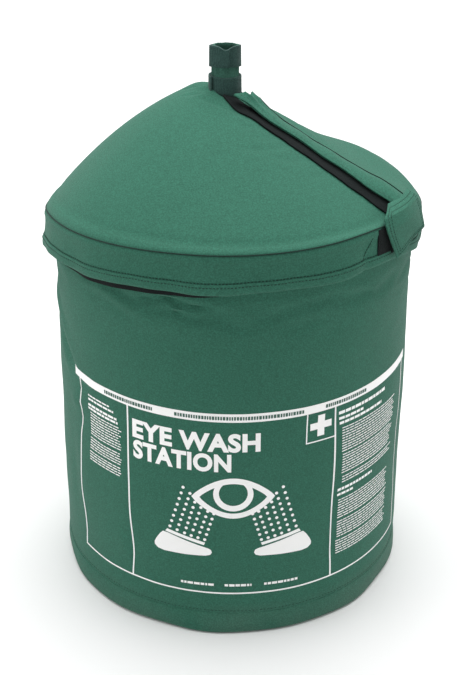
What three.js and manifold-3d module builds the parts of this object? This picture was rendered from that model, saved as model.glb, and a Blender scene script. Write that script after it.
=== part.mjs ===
// Portable air-charged eyewash station in an insulated fabric jacket.
// Millimetres, +Z up. The origin is the centre of the jacket's underside, and -Y is the front,
// where the sign is printed. The soft lid lifts straight off; under it are the tank's fittings.
import * as THREE from "three";
import { mergeVertices } from "three/addons/utils/BufferGeometryUtils.js";
import Module from "manifold-3d";

const wasm = await Module();
wasm.setup();

// ---------------------------------------------------------------- sizes

const gap = 0.3; // between faces that touch
const largeSides = 40;
const mediumSides = 20;
const smallSides = 12;
const headSteps = 5; // facets from a tank head's rim to its middle

// Jacket
const jacketRadius = 225;
const jacketHeight = 525; // top of the wall's layers
const shellThickness = 2.5;
const insulationThickness = 16;
const linerThickness = 2.5;
const bootHeight = 31;
const bootFloor = 3;
const padThickness = 10.5;
const bindingThickness = 1.7;
const bindingDepth = 13;

// Lid
const lidOverhang = 10; // how far its skirt stands out from the jacket
const skirtDrop = 48; // from the lid's seam to the skirt's lower edge
const skirtThickness = 4;
const lidEdge = 8.7; // from the jacket's top to the seam
const lidThickness = 10;
const landWidth = 30; // the flat ring of foam that rests on the jacket
const peakSplit = 82; // the seam between the lid's cone and its peak
const peakRadius = 19;
const peakRise = 110; // from the seam to the foot of the neck
const domeRise = 18; // how far the padded lid stands above a true cone, away from the closure
const hemThickness = 1.5;
const hemDepth = 12;

// Closure: a slit from the neck to the hem, under a flap and a tab
const closureAngle = 62; // degrees round from the front, towards +X
const slitWidth = 4;
const tapeThickness = 1.7;
const tapeWidth = 25;
const tapeSetBack = 4; // from the slit's edge to the loop tape
const flapWidth = 26;
const flapLead = 14; // from the slit's middle to its free edge
const flapThickness = 3;
const flapStart = 26; // distance of its upper end from the axis
const flapShort = 7; // its lower end stops this far inside the seam
const weltWidth = 6;
const tabWidth = 56;
const tabLead = 22;
const tabShort = 5; // from the seam down to the tab
const tabOverhang = 4; // below the skirt

// Neck
const neckRadius = 16.5;
const neckWall = 2.5;
const neckTurnIn = 12; // inside the lid
const neckLength = 66;
const strapWidth = 25;
const strapThickness = 2.5;
const strapSpacing = 38; // from the lower strap's foot to the upper strap's
const strapTailAngle = 70;

// Tank
const tankClearance = 11.4; // between the tank and the liner
const tankWall = 2.5;
const headDepth = 96; // elliptical heads
const tankLift = 16; // under the lower head
const shoulderDepth = 141; // from the jacket's top edge down to the upper head's weld
const footInset = 42;
const footWall = 3;

// Outlet head and its boss
const bossBore = 20.5;
const bossWall = 3.5;
const bossFlange = 33;
const bossHeight = 7.5;
const headFlats = 27; // from the axis to each flat
const headHeight = 20.7;
const spigotDepth = 23;
const waterBore = 6.5;
const dipTubeRadius = 8;
const dipTubeLift = 18; // above the tank's floor
const dipTubeGrip = 15;
const portRadius = 6;
const portDepth = 10;

// Ball valve and lever
const valveLength = 32;
const valveEndRadius = 15;
const valveRadius = 18;
const valveSpigotRadius = 9;
const valveSpigotDepth = 7.5;
const ballRadius = 13;
const stemRadius = 4;
const bonnetRadius = 8;
const bonnetReach = 5;
const leverLength = 62;
const leverWidth = 14;
const leverThickness = 4;
const nutThickness = 4;
const padSize = 38;
const pushPadThickness = 9;
const padGrip = 16; // how far the lever goes into its pad

// Yoke and spray heads
const headSpacing = 124;
const hubRadius = 13;
const armRadius = 7;
const armBore = 4;
const socketRadius = 11;
const socketBore = 5;
const yokeHeight = 15;
const sprayRadius = 17.5;
const sprayWall = 3;
const sprayHeight = 18;
const jetCircle = 8.5;
const jetRadius = 1.5;
const capOverlap = 1; // past the rim of the spray head
const capThickness = 2.7;
const hingeClearance = 3.5; // from the rim to the cap's hinge pin
const pinRadius = 1.2;
const knuckleRadius = 2.5;
const knuckleWidth = 7.6;
const earThickness = 2.5;

// Gauge, relief valve and air valve
const gaugeRadius = 20;
const gaugeDepth = 18;
const gaugeReach = 44; // from the axis to the back of the case
const gaugeWall = 1.5;
const bezelThickness = 1.5;
const reliefReach = 54;
const reliefPinRadius = 2;
const pullRingRadius = 9;
const pullRingWire = 1.3;
const airReach = 48;

// Fill port
const fillDistance = 100; // behind the axis
const fillBore = 20;
const fillWall = 7;
const fillRise = 18; // above the tank
const plugDepth = 12;
const gasketThickness = 3;
const fillCapRadius = 29;
const fillCapThickness = 7.5;
const gripLength = 44;
const gripHeight = 14;

// Lifting handles
const pivotInset = 42; // from the tank's side to the hinge line
const pivotLift = 10.5; // above the tank's shoulder
const handleReach = 45;
const handleSpan = 72;
const handleBar = 4;
const handleCorner = 10;
const lugThickness = 4;
const lugWidth = 14;

// ---------------------------------------------------------------- worked-out places

const shellInside = jacketRadius - shellThickness;
const insulationOutside = shellInside - gap;
const insulationInside = insulationOutside - insulationThickness;
const linerOutside = insulationInside - gap;
const linerInside = linerOutside - linerThickness;
const floorTop = bootFloor + gap + padThickness;
const jacketTop = jacketHeight + gap + bindingThickness;

const lidRadius = jacketRadius + lidOverhang;
const lidRest = jacketTop + gap;
const seamHeight = lidRest + lidEdge;
const hemBottom = seamHeight - skirtDrop;
const skirtInside = lidRadius - skirtThickness;
const coneRim = skirtInside - gap;
const peakHeight = seamHeight + peakRise;
const coneSlope = peakRise / (lidRadius - peakRadius);
const coneAngle = Math.atan(coneSlope);
const coneHeight = (radius) => seamHeight + (lidRadius - radius) * coneSlope;
const coneThroughDrop = lidThickness / Math.cos(coneAngle);
const hookLift = gap + tapeThickness + gap;
const flapLift = hookLift + tapeThickness + gap;
const flapEnd = lidRadius - flapShort;
const neckTop = peakHeight + neckLength;

const ellipse = (radius, across, deep) => deep * Math.sqrt(1 - (radius / across) ** 2);
const tankRadius = linerInside - tankClearance;
const lowerTangent = floorTop + tankLift + headDepth;
const upperTangent = jacketHeight - shoulderDepth;
const tankTop = (radius, grow = 0) => upperTangent + ellipse(radius, tankRadius + grow, headDepth + grow);
const footRadius = tankRadius - footInset;

const tankHole = bossBore + bossWall + gap;
const flangeFoot = tankTop(tankHole) + gap + 0.1;
const bossTop = flangeFoot + bossHeight;
const headFoot = bossTop + gap;
const headUpper = headFoot + headHeight;
const portHeight = headFoot + headHeight / 2;
const spigotFoot = headFoot - spigotDepth;
const dipTubeFoot = floorTop + tankLift + tankWall + dipTubeLift;
const dipTubeTop = spigotFoot + dipTubeGrip;
const valveFoot = headUpper + gap;
const valveTop = valveFoot + valveLength;
const valveCentre = (valveFoot + valveTop) / 2;
const yokeFoot = valveTop + gap;
const armHeight = yokeFoot + yokeHeight / 2;
const yokeTop = yokeFoot + yokeHeight;
const sprayFoot = yokeTop + gap;
const sprayTop = sprayFoot + sprayHeight;
const capRadius = sprayRadius + capOverlap;
const capFoot = sprayTop + gap;
const hingeOffset = sprayRadius + hingeClearance;
const hingeHeight = capFoot + capThickness / 2;
const fillTop = tankTop(fillDistance) + fillRise;
const pivotDistance = tankRadius - pivotInset;
const pivotHeight = tankTop(pivotDistance) + pivotLift;

// ---------------------------------------------------------------- materials

function finish(color, roughness, metalness = 0) {
  return new THREE.MeshStandardMaterial({ color, roughness, metalness });
}

const greenFabric = finish(0x3f7a64, 0.85);
const darkWebbing = finish(0x38504a, 0.9);
const blackTape = finish(0x171b1b, 0.95);
const greyFoam = finish(0x8d9290, 0.95);
const silverLiner = finish(0xb9bdbd, 0.5);
const stainless = finish(0xb8bbbd, 0.3, 1);
const chrome = finish(0xd0d2d4, 0.15, 1);
const brass = finish(0xb08d45, 0.3, 1);
const yellowPlastic = finish(0xe3b81c, 0.4);
const greenPlastic = finish(0x1f7a4d, 0.4);
const blackPlastic = finish(0x1c1c1e, 0.5);
const whiteEnamel = finish(0xeeeeea, 0.5);
const redEnamel = finish(0xb3221c, 0.4);
const blackRubber = finish(0x202020, 0.8);
const clearGlass = finish(0xdfe8ea, 0.05);

// ---------------------------------------------------------------- shape helpers

const radians = THREE.MathUtils.degToRad;

// A solid of revolution about Z. The profile is [radius, height] points, and it closes on itself
// unless it starts and ends on the axis. Either direction round it will do.
function turned(profile, sides = largeSides) {
  const closed = profile[0][0] === 0 && profile.at(-1)[0] === 0 ? profile : [...profile, profile[0]];
  const points = closed.map(([radius, height]) => new THREE.Vector2(radius, height));
  if (THREE.ShapeUtils.area(points) < 0) points.reverse();
  return new THREE.LatheGeometry(points, sides).rotateX(Math.PI / 2);
}

function rod(radius, length, sides = smallSides) {
  return new THREE.CylinderGeometry(radius, radius, length, sides)
    .rotateX(Math.PI / 2)
    .translate(0, 0, length / 2);
}

function block(lowX, highX, lowY, highY, lowZ, highZ) {
  return new THREE.BoxGeometry(highX - lowX, highY - lowY, highZ - lowZ)
    .translate((lowX + highX) / 2, (lowY + highY) / 2, (lowZ + highZ) / 2);
}

// An outline in X and Z, made into a plate from frontY to backY.
function plate(shape, frontY, backY) {
  return new THREE.ExtrudeGeometry(shape, { depth: backY - frontY, bevelEnabled: false, curveSegments: 6 })
    .rotateX(Math.PI / 2)
    .translate(0, backY, 0);
}

function solid(geometry) {
  const bare = geometry.index ? geometry.toNonIndexed() : geometry.clone();
  for (const name of Object.keys(bare.attributes)) if (name !== "position") bare.deleteAttribute(name);
  const merged = mergeVertices(bare, 1e-3);
  return new wasm.Manifold(new wasm.Mesh({
    numProp: 3,
    vertProperties: merged.attributes.position.array,
    triVerts: new Uint32Array(merged.index.array),
  }));
}

function geometryOf(body) {
  const { numProp, numVert, vertProperties, triVerts } = body.getMesh();
  const positions = new Float32Array(numVert * 3);
  for (let i = 0; i < numVert; i++) {
    const start = i * numProp;
    positions.set(vertProperties.subarray(start, start + 3), i * 3);
  }
  return new THREE.BufferGeometry()
    .setAttribute("position", new THREE.BufferAttribute(positions, 3))
    .setIndex(new THREE.BufferAttribute(triVerts, 1));
}

function joined(first, ...rest) {
  return geometryOf(rest.reduce((sum, each) => sum.add(solid(each)), solid(first)));
}

function cut(first, ...rest) {
  return geometryOf(rest.reduce((left, each) => left.subtract(solid(each)), solid(first)));
}

function common(first, second) {
  return geometryOf(solid(first).intersect(solid(second)));
}

function piece(name, geometry, material) {
  const mesh = new THREE.Mesh(geometry, material);
  mesh.name = name;
  return mesh;
}

function group(...children) {
  return new THREE.Group().add(...children);
}

// ---------------------------------------------------------------- jacket

function makeJacket() {
  const top = jacketHeight;
  const tube = (inside, outside, foot) => turned([
    [inside, foot], [outside, foot], [outside, top], [inside, top],
  ]);
  const foot = floorTop + gap;
  const boot = turned([
    [0, 0], [jacketRadius, 0], [jacketRadius, bootHeight], [shellInside, bootHeight],
    [shellInside, bootFloor], [0, bootFloor],
  ]);
  const pad = turned([
    [0, bootFloor + gap], [insulationOutside, bootFloor + gap], [insulationOutside, floorTop], [0, floorTop],
  ]);
  const bindingOutside = jacketRadius + gap + bindingThickness;
  const bindingInside = linerInside - gap - bindingThickness;
  const bindingFoot = jacketTop - bindingDepth;
  const binding = turned([
    [bindingInside, bindingFoot], [linerInside - gap, bindingFoot],
    [linerInside - gap, jacketHeight + gap], [jacketRadius + gap, jacketHeight + gap],
    [jacketRadius + gap, bindingFoot], [bindingOutside, bindingFoot],
    [bindingOutside, jacketTop], [bindingInside, jacketTop],
  ]);
  return group(
    piece("jacket_boot", boot, greenFabric),
    piece("base_pad", pad, greyFoam),
    piece("jacket_shell", tube(shellInside, jacketRadius, bootHeight + gap), greenFabric),
    piece("jacket_insulation", tube(insulationInside, insulationOutside, foot), greyFoam),
    piece("jacket_liner", tube(linerInside, linerOutside, foot), silverLiner),
    piece("jacket_top_binding", binding, darkWebbing),
  );
}

// ---------------------------------------------------------------- tank

// Points down a head's curve, from its rim (0) to where its radius is endRadius.
function headCurve(across, deep, endRadius) {
  const last = Math.acos(endRadius / across);
  return Array.from({ length: headSteps + 1 }, (_, i) => {
    const angle = (last * i) / headSteps;
    return [i === headSteps ? endRadius : across * Math.cos(angle), deep * Math.sin(angle)];
  });
}

// The tank's outer form as one solid, grown all over.
function tankForm(grow) {
  const lower = headCurve(tankRadius + grow, headDepth + grow, 0);
  const upper = headCurve(tankRadius + grow, headDepth + grow, tankHole);
  return turned([
    ...[...lower].reverse().map(([r, z]) => [r, lowerTangent - z]),
    ...upper.map(([r, z]) => [r, upperTangent + z]),
    [0, tankTop(tankHole, grow)],
  ]);
}

function makeTank() {
  const outer = headCurve(tankRadius, headDepth, tankHole);
  const outerFloor = headCurve(tankRadius, headDepth, 0);
  const inner = headCurve(tankRadius - tankWall, headDepth - tankWall, tankHole);
  const innerFloor = headCurve(tankRadius - tankWall, headDepth - tankWall, 0);
  const shell = turned([
    ...[...outerFloor].reverse().map(([r, z]) => [r, lowerTangent - z]),
    ...outer.map(([r, z]) => [r, upperTangent + z]),
    ...[...inner].reverse().map(([r, z]) => [r, upperTangent + z]),
    ...innerFloor.map(([r, z]) => [r, lowerTangent - z]),
  ]);
  const fillHole = rod(fillBore, fillTop, mediumSides).translate(0, fillDistance, upperTangent);

  const footTop = lowerTangent - ellipse(footRadius - footWall, tankRadius, headDepth) - 1;
  const foot = turned([
    [footRadius - footWall, floorTop + gap], [footRadius, floorTop + gap],
    [footRadius, footTop], [footRadius - footWall, footTop],
  ]);
  const boss = turned([
    [bossBore, flangeFoot - 9], [bossBore + bossWall, flangeFoot - 9], [bossBore + bossWall, flangeFoot],
    [bossFlange, flangeFoot], [bossFlange, bossTop], [bossBore, bossTop],
  ], mediumSides);
  return group(
    piece("tank_shell", cut(shell, fillHole), stainless),
    piece("tank_foot_ring", foot, stainless),
    piece("tank_boss", boss, stainless),
  );
}

// ---------------------------------------------------------------- fill port

function makeFillPort() {
  const outside = fillBore + fillWall;
  const ring = (foot, top) =>
    turned([[fillBore, foot], [outside, foot], [outside, top], [fillBore, top]], mediumSides);
  const boss = cut(ring(upperTangent, fillTop), tankForm(gap).translate(0, -fillDistance, 0));
  const gasketFoot = fillTop + gap;
  const capFlange = gasketFoot + gasketThickness + gap;
  const capTop = capFlange + fillCapThickness;
  const plug = turned([
    [0, fillTop - plugDepth], [fillBore - gap, fillTop - plugDepth], [fillBore - gap, capFlange],
    [fillCapRadius, capFlange], [fillCapRadius, capTop], [0, capTop],
  ], mediumSides);
  const grip = block(-gripLength / 2, gripLength / 2, -5, 5, capTop - 1, capTop + gripHeight);
  const port = group(
    piece("fill_boss", boss, stainless),
    piece("fill_gasket", ring(gasketFoot, gasketFoot + gasketThickness), blackRubber),
    piece("fill_cap", joined(plug, grip), blackPlastic),
  );
  port.position.y = fillDistance;
  return port;
}

// ---------------------------------------------------------------- lifting handles

// Degrees below level at which a handle lies on the tank's shoulder.
function restingDrop() {
  const room = handleBar + gap;
  const clear = (drop) => {
    const out = pivotDistance + handleReach * Math.cos(radians(drop));
    return pivotHeight - handleReach * Math.sin(radians(drop)) > tankTop(out, room);
  };
  let drop = 0;
  while (clear(drop + 0.5)) drop += 0.5;
  return drop;
}

// A handle on the +X side; the other is the same, turned half a turn.
function makeHandle(side) {
  const inner = handleSpan / 2;
  const drop = radians(restingDrop());
  const at = (out, across) => new THREE.Vector3(out * Math.cos(drop), across, -out * Math.sin(drop));
  const half = [
    at(0, inner + 11), at(0, inner + 4), at(2, inner),
    at(handleReach - handleCorner, inner), at(handleReach - 3, inner - 3),
    at(handleReach, inner - handleCorner),
  ];
  const mirrored = [...half].reverse().map((point) => new THREE.Vector3(point.x, -point.y, point.z));
  const route = [...half, ...mirrored];
  const section = new THREE.Shape().absarc(0, 0, handleBar, 0, 2 * Math.PI);
  const bar = new THREE.ExtrudeGeometry(section, {
    steps: 22, curveSegments: 4, bevelEnabled: false,
    extrudePath: new THREE.CatmullRomCurve3(route, false, "centripetal"),
  }).translate(pivotDistance, 0, pivotHeight);

  const lug = (sign, name) => {
    const outline = new THREE.Shape()
      .moveTo(-lugWidth / 2, -pivotHeight + upperTangent)
      .lineTo(lugWidth / 2, -pivotHeight + upperTangent)
      .lineTo(lugWidth / 2, 0)
      .absarc(0, 0, lugWidth / 2, 0, Math.PI);
    const middle = sign * (inner + 5 + lugThickness / 2);
    const blank = plate(outline, middle - lugThickness / 2, middle + lugThickness / 2)
      .translate(pivotDistance, 0, pivotHeight);
    const eyeRadius = handleBar + gap + 0.15;
    const eye = new THREE.CylinderGeometry(eyeRadius, eyeRadius, 200, smallSides)
      .translate(pivotDistance, 0, pivotHeight);
    return piece(name, cut(blank, eye, tankForm(gap)), stainless);
  };
  const assembly = group(
    piece(`handle_${side}`, bar, stainless),
    lug(-1, `handle_lug_${side}_1`),
    lug(1, `handle_lug_${side}_2`),
  );
  if (side === "left") assembly.rotation.z = Math.PI;
  return assembly;
}

// ---------------------------------------------------------------- outlet head, dip tube and valve

function makeOutletHead() {
  const corners = headFlats / Math.cos(Math.PI / 6);
  const hexagon = new THREE.CylinderGeometry(corners, corners, headHeight, 6)
    .rotateX(Math.PI / 2)
    .rotateZ(Math.PI / 6)
    .translate(0, 0, headFoot + headHeight / 2);
  const spigot = rod(bossBore - gap, spigotDepth + 1, mediumSides).translate(0, 0, spigotFoot);
  const body = joined(hexagon, spigot);
  const bore = rod(waterBore, 60).translate(0, 0, spigotFoot - 5);
  const socketDepth = dipTubeTop + gap - spigotFoot;
  const tubeSocket = rod(dipTubeRadius + gap, socketDepth + 5).translate(0, 0, spigotFoot - 5);
  const valveSocket = rod(valveSpigotRadius + gap, 20, mediumSides)
    .translate(0, 0, valveFoot - valveSpigotDepth - gap);
  const port = (angle) => rod(portRadius, 40)
    .rotateY(Math.PI / 2)
    .translate(headFlats - portDepth, 0, portHeight)
    .rotateZ(radians(angle));
  const tube = turned([
    [waterBore, dipTubeFoot], [dipTubeRadius, dipTubeFoot],
    [dipTubeRadius, dipTubeTop], [waterBore, dipTubeTop],
  ], smallSides);
  return group(
    piece("outlet_head", cut(body, bore, tubeSocket, valveSocket, port(-90), port(30), port(150)), chrome),
    piece("dip_tube", tube, blackPlastic),
  );
}

function makeValve() {
  const barrel = turned([
    [0, valveFoot - valveSpigotDepth], [valveSpigotRadius, valveFoot - valveSpigotDepth],
    [valveSpigotRadius, valveFoot], [valveEndRadius, valveFoot],
    [valveEndRadius, valveFoot + 5], [valveRadius, valveFoot + 8], [valveRadius, valveTop - 8],
    [valveEndRadius, valveTop - 5], [valveEndRadius, valveTop], [0, valveTop],
  ], mediumSides);
  const along = (radius, nearY, farY) => new THREE.CylinderGeometry(radius, radius, farY - nearY, smallSides)
    .translate(0, (nearY + farY) / 2, valveCentre);
  const bonnetFace = -valveRadius - bonnetReach;
  const cavity = new THREE.SphereGeometry(ballRadius + 1, 12, 8).translate(0, 0, valveCentre);
  const bore = rod(waterBore, valveLength + 40).translate(0, 0, valveFoot - 20);
  const stemHole = along(stemRadius + gap, bonnetFace - 5, -5);
  const body = cut(joined(barrel, along(bonnetRadius, bonnetFace, -10)), cavity, bore, stemHole);
  const ballBore = rod(waterBore, 4 * ballRadius).translate(0, 0, -2 * ballRadius).rotateY(Math.PI / 2);
  const ball = cut(new THREE.SphereGeometry(ballRadius, 12, 8), ballBore).translate(0, 0, valveCentre);

  const leverBack = bonnetFace - gap;
  const leverFront = leverBack - leverThickness;
  const nutFront = leverFront - gap - nutThickness;
  const outline = new THREE.Shape()
    .moveTo(leverLength, -leverWidth / 2)
    .lineTo(leverLength, leverWidth / 2)
    .lineTo(5, leverWidth / 2)
    .absarc(0, 0, leverWidth / 2 + 2, 1, 2 * Math.PI - 1);
  const lever = cut(plate(outline, leverFront, leverBack).translate(0, 0, valveCentre),
    along(stemRadius + gap, leverFront - 5, leverBack + 5));
  const nut = cut(
    new THREE.CylinderGeometry(7, 7, nutThickness, 6).translate(0, nutFront + nutThickness / 2, valveCentre),
    along(stemRadius + gap, nutFront - 5, leverFront),
  );
  const middle = (leverFront + leverBack) / 2;
  const pocket = block(leverLength - 40, leverLength + gap, leverFront - gap, leverBack + gap,
    valveCentre - leverWidth / 2 - gap, valveCentre + leverWidth / 2 + gap);
  const padFoot = leverLength - padGrip;
  const half = padSize / 2;
  const blank = block(padFoot, padFoot + padSize,
    middle - pushPadThickness / 2, middle + pushPadThickness / 2,
    valveCentre - half, valveCentre + half);
  const pad = cut(blank, pocket);
  return group(
    piece("valve_body", body, chrome),
    piece("valve_ball", ball, chrome),
    piece("valve_stem", along(stemRadius, nutFront - 1.5, -ballRadius - gap), stainless),
    piece("push_lever", lever, stainless),
    piece("lever_nut", nut, stainless),
    piece("push_pad", pad, greenPlastic),
  );
}

// ---------------------------------------------------------------- yoke, spray heads and dust caps

function makeYoke() {
  const reach = headSpacing / 2;
  const across = (radius, half) => new THREE.CylinderGeometry(radius, radius, 2 * half, smallSides)
    .rotateZ(Math.PI / 2)
    .translate(0, 0, armHeight);
  const upright = (radius, foot, top, x) => rod(radius, top - foot).translate(x, 0, foot);
  const body = joined(
    rod(hubRadius, yokeHeight, mediumSides).translate(0, 0, yokeFoot),
    across(armRadius, reach),
    upright(socketRadius, yokeFoot, yokeTop, -reach),
    upright(socketRadius, yokeFoot, yokeTop, reach),
  );
  const waterway = joined(
    upright(waterBore, yokeFoot - 5, armHeight + 2, 0),
    across(armBore, reach),
    upright(socketBore, armHeight - 3, yokeTop + 5, -reach),
    upright(socketBore, armHeight - 3, yokeTop + 5, reach),
  );
  return piece("spray_yoke", cut(body, waterway), chrome);
}

// A spray head and its cap on the +X side, with the hinge towards the axis.
function makeSprayHead(side) {
  const plateFoot = sprayTop - sprayWall;
  const inside = sprayRadius - sprayWall;
  const spigot = socketBore * 2;
  const cup = turned([
    [0, plateFoot], [inside, plateFoot], [inside, plateFoot - 3],
    [socketBore, sprayFoot + 4], [socketBore, sprayFoot], [spigot, sprayFoot], [spigot, sprayFoot + 4],
    [sprayRadius, sprayTop - 5], [sprayRadius, sprayTop], [0, sprayTop],
  ], mediumSides);
  const jets = Array.from({ length: 7 }, (_, i) => {
    const angle = (i * Math.PI) / 3;
    const distance = i < 6 ? jetCircle : 0;
    const hole = rod(jetRadius, 12, 6);
    return hole.translate(distance * Math.cos(angle), distance * Math.sin(angle), plateFoot - 4);
  });
  const clear = hingeOffset - knuckleRadius + 0.2;
  const ear = (nearY) => plate(
    new THREE.Shape()
      .moveTo(-inside - 1.5, sprayTop - 7)
      .lineTo(-inside - 1.5, sprayTop - 0.1)
      .lineTo(-clear, sprayTop - 0.1)
      .lineTo(-hingeOffset + knuckleRadius, hingeHeight)
      .absarc(-hingeOffset, hingeHeight, knuckleRadius, 0, Math.PI)
      .lineTo(-hingeOffset - knuckleRadius, sprayTop - 3),
    nearY, nearY + earThickness,
  );
  const earGap = knuckleWidth / 2 + gap;
  const pinHole = new THREE.CylinderGeometry(pinRadius + gap, pinRadius + gap, 20, 8)
    .translate(-hingeOffset, 0, hingeHeight);
  const head = cut(joined(cup, ear(-earGap - earThickness), ear(earGap)), ...jets, pinHole);

  const tongue = plate(
    new THREE.Shape()
      .moveTo(-capRadius + 2, hingeHeight - capThickness / 2)
      .lineTo(-capRadius + 2, hingeHeight + capThickness / 2)
      .lineTo(-hingeOffset, hingeHeight + knuckleRadius)
      .absarc(-hingeOffset, hingeHeight, knuckleRadius, Math.PI / 2, 1.5 * Math.PI),
    -knuckleWidth / 2, knuckleWidth / 2,
  );
  const disc = rod(capRadius, capThickness, mediumSides).translate(0, 0, capFoot);
  const cap = cut(joined(disc, tongue), pinHole);
  const pinLength = 2 * (earGap + earThickness) - gap;
  const pin = new THREE.CylinderGeometry(pinRadius, pinRadius, pinLength, 8)
    .translate(-hingeOffset, 0, hingeHeight);
  const assembly = group(
    piece(`spray_head_${side}`, head, yellowPlastic),
    piece(`dust_cap_${side}`, cap, greenPlastic),
    piece(`cap_pin_${side}`, pin, stainless),
  );
  assembly.position.x = headSpacing / 2;
  if (side === "left") {
    assembly.rotation.z = Math.PI;
    assembly.position.x *= -1;
  }
  return assembly;
}

// ---------------------------------------------------------------- gauge, relief valve and air valve

// Each is built along +X from the outlet head's flat, then turned to its port.
function atPort(angle, ...children) {
  const assembly = group(...children);
  assembly.rotation.z = radians(angle);
  assembly.position.z = portHeight;
  return assembly;
}

// A turned solid lying along X: the profile is [distance along X, radius].
function alongX(profile, sides) {
  return turned(profile.map(([x, radius]) => [radius, x]), sides).rotateY(Math.PI / 2);
}

const stubFoot = headFlats - portDepth + gap;
const stubRadius = portRadius - gap;

function makeGauge() {
  const back = gaugeReach;
  const front = back + gaugeDepth;
  const floor = back + 2;
  const inside = gaugeRadius - gaugeWall;
  const dialBack = floor + 6;
  const dialFront = dialBack + 1;
  const lensBack = front - 2.5;
  const casing = alongX([
    [stubFoot, 0], [stubFoot, stubRadius], [headFlats + gap, stubRadius], [headFlats + gap, 7.5],
    [back - 4, 7.5], [back, 9], [back, gaugeRadius], [front, gaugeRadius], [front, inside],
    [dialBack - gap, inside], [dialBack - gap, inside - 3], [floor, inside - 3], [floor, 0],
  ], mediumSides);
  const fit = inside - gap;
  const dial = alongX([[dialBack, 1.4], [dialFront, 1.4], [dialFront, fit], [dialBack, fit]], mediumSides);
  const lens = alongX([[lensBack, 0], [lensBack, fit], [front, fit], [front, 0]], mediumSides);
  const bezelOutside = gaugeRadius + gap + bezelThickness;
  const bezel = alongX([
    [front - 4, gaugeRadius + gap], [front - 4, bezelOutside], [front + 2, bezelOutside],
    [front + 2, inside - 1], [front + gap, inside - 1], [front + gap, gaugeRadius + gap],
  ], mediumSides);
  const spindle = rod(1, lensBack - 1 - (dialBack - 2), 8).rotateY(Math.PI / 2).translate(dialBack - 2, 0, 0);
  const hand = new THREE.Shape()
    .moveTo(-2, -6)
    .lineTo(2, -6)
    .lineTo(1, 13)
    .lineTo(0, 15)
    .lineTo(-1, 13);
  const pointer = plate(hand, 0, 0.8)
    .rotateZ(Math.PI / 2)
    .translate(dialFront + 1.3, 0, 0);
  return atPort(-90,
    piece("gauge_case", casing, stainless),
    piece("gauge_dial", dial, whiteEnamel),
    piece("gauge_needle", joined(spindle, pointer), redEnamel),
    piece("gauge_lens", lens, clearGlass),
    piece("gauge_bezel", bezel, chrome),
  );
}

function makeReliefValve() {
  const pinBore = reliefPinRadius + gap;
  const body = alongX([
    [stubFoot, 0], [stubFoot, stubRadius], [headFlats + gap, stubRadius], [headFlats + gap, 8.5],
    [headFlats + 8, 8.5], [headFlats + 9, 7], [reliefReach - 3, 7], [reliefReach, 5],
    [reliefReach, pinBore], [reliefReach - 16, pinBore], [reliefReach - 16, 0],
  ], smallSides);
  const ringCentre = reliefReach + 6 + pullRingRadius;
  const pinFoot = reliefReach - 15;
  const pin = rod(reliefPinRadius, ringCentre - pullRingRadius - pinFoot)
    .rotateY(Math.PI / 2)
    .translate(pinFoot, 0, 0);
  const ring = new THREE.TorusGeometry(pullRingRadius, pullRingWire, 6, 16).translate(ringCentre, 0, 0);
  return atPort(30,
    piece("relief_valve", body, brass),
    piece("relief_pull_ring", joined(pin, ring), stainless),
  );
}

function makeAirValve() {
  const stem = alongX([
    [stubFoot, 0], [stubFoot, stubRadius], [headFlats + gap, stubRadius], [headFlats + gap, 8],
    [headFlats + 6, 8], [headFlats + 7, 5], [airReach - 10, 5], [airReach - 9, 3.8],
    [airReach, 3.8], [airReach, 0],
  ], smallSides);
  const capEnd = airReach + 3;
  const cap = alongX([
    [airReach - 8, 4.2], [airReach - 8, 6], [capEnd - 1, 6], [capEnd, 5], [capEnd, 0],
    [airReach + gap, 0], [airReach + gap, 4.2],
  ], smallSides);
  return atPort(150,
    piece("air_valve", stem, brass),
    piece("air_valve_cap", cap, blackPlastic),
  );
}

// ---------------------------------------------------------------- lid

// The lid group's +X is the closure's direction, so the slit runs along it.
const slit = () => block(0, lidRadius + 20, -slitWidth / 2, slitWidth / 2, hemBottom - 20, neckTop + 20);
const flapHinge = flapWidth - flapLead;
const tabHinge = tabWidth - tabLead;
const tapeFar = -slitWidth / 2 - tapeSetBack;
const tapeNear = tapeFar - tapeWidth;

// Raises the lid's vertices into a padded dome, except where the closure holds it straight.
function puffed(geometry) {
  const places = geometry.attributes.position;
  for (let i = 0; i < places.count; i++) {
    const x = places.getX(i);
    const y = places.getY(i);
    const radius = Math.hypot(x, y);
    const share = THREE.MathUtils.clamp((radius - 40) / (coneRim - landWidth - 40), 0, 1);
    const away = THREE.MathUtils.smoothstep(Math.abs(Math.atan2(y, x)), radians(50), radians(110));
    places.setZ(i, places.getZ(i) + domeRise * away * 4 * share * (1 - share));
  }
  return geometry;
}

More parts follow.
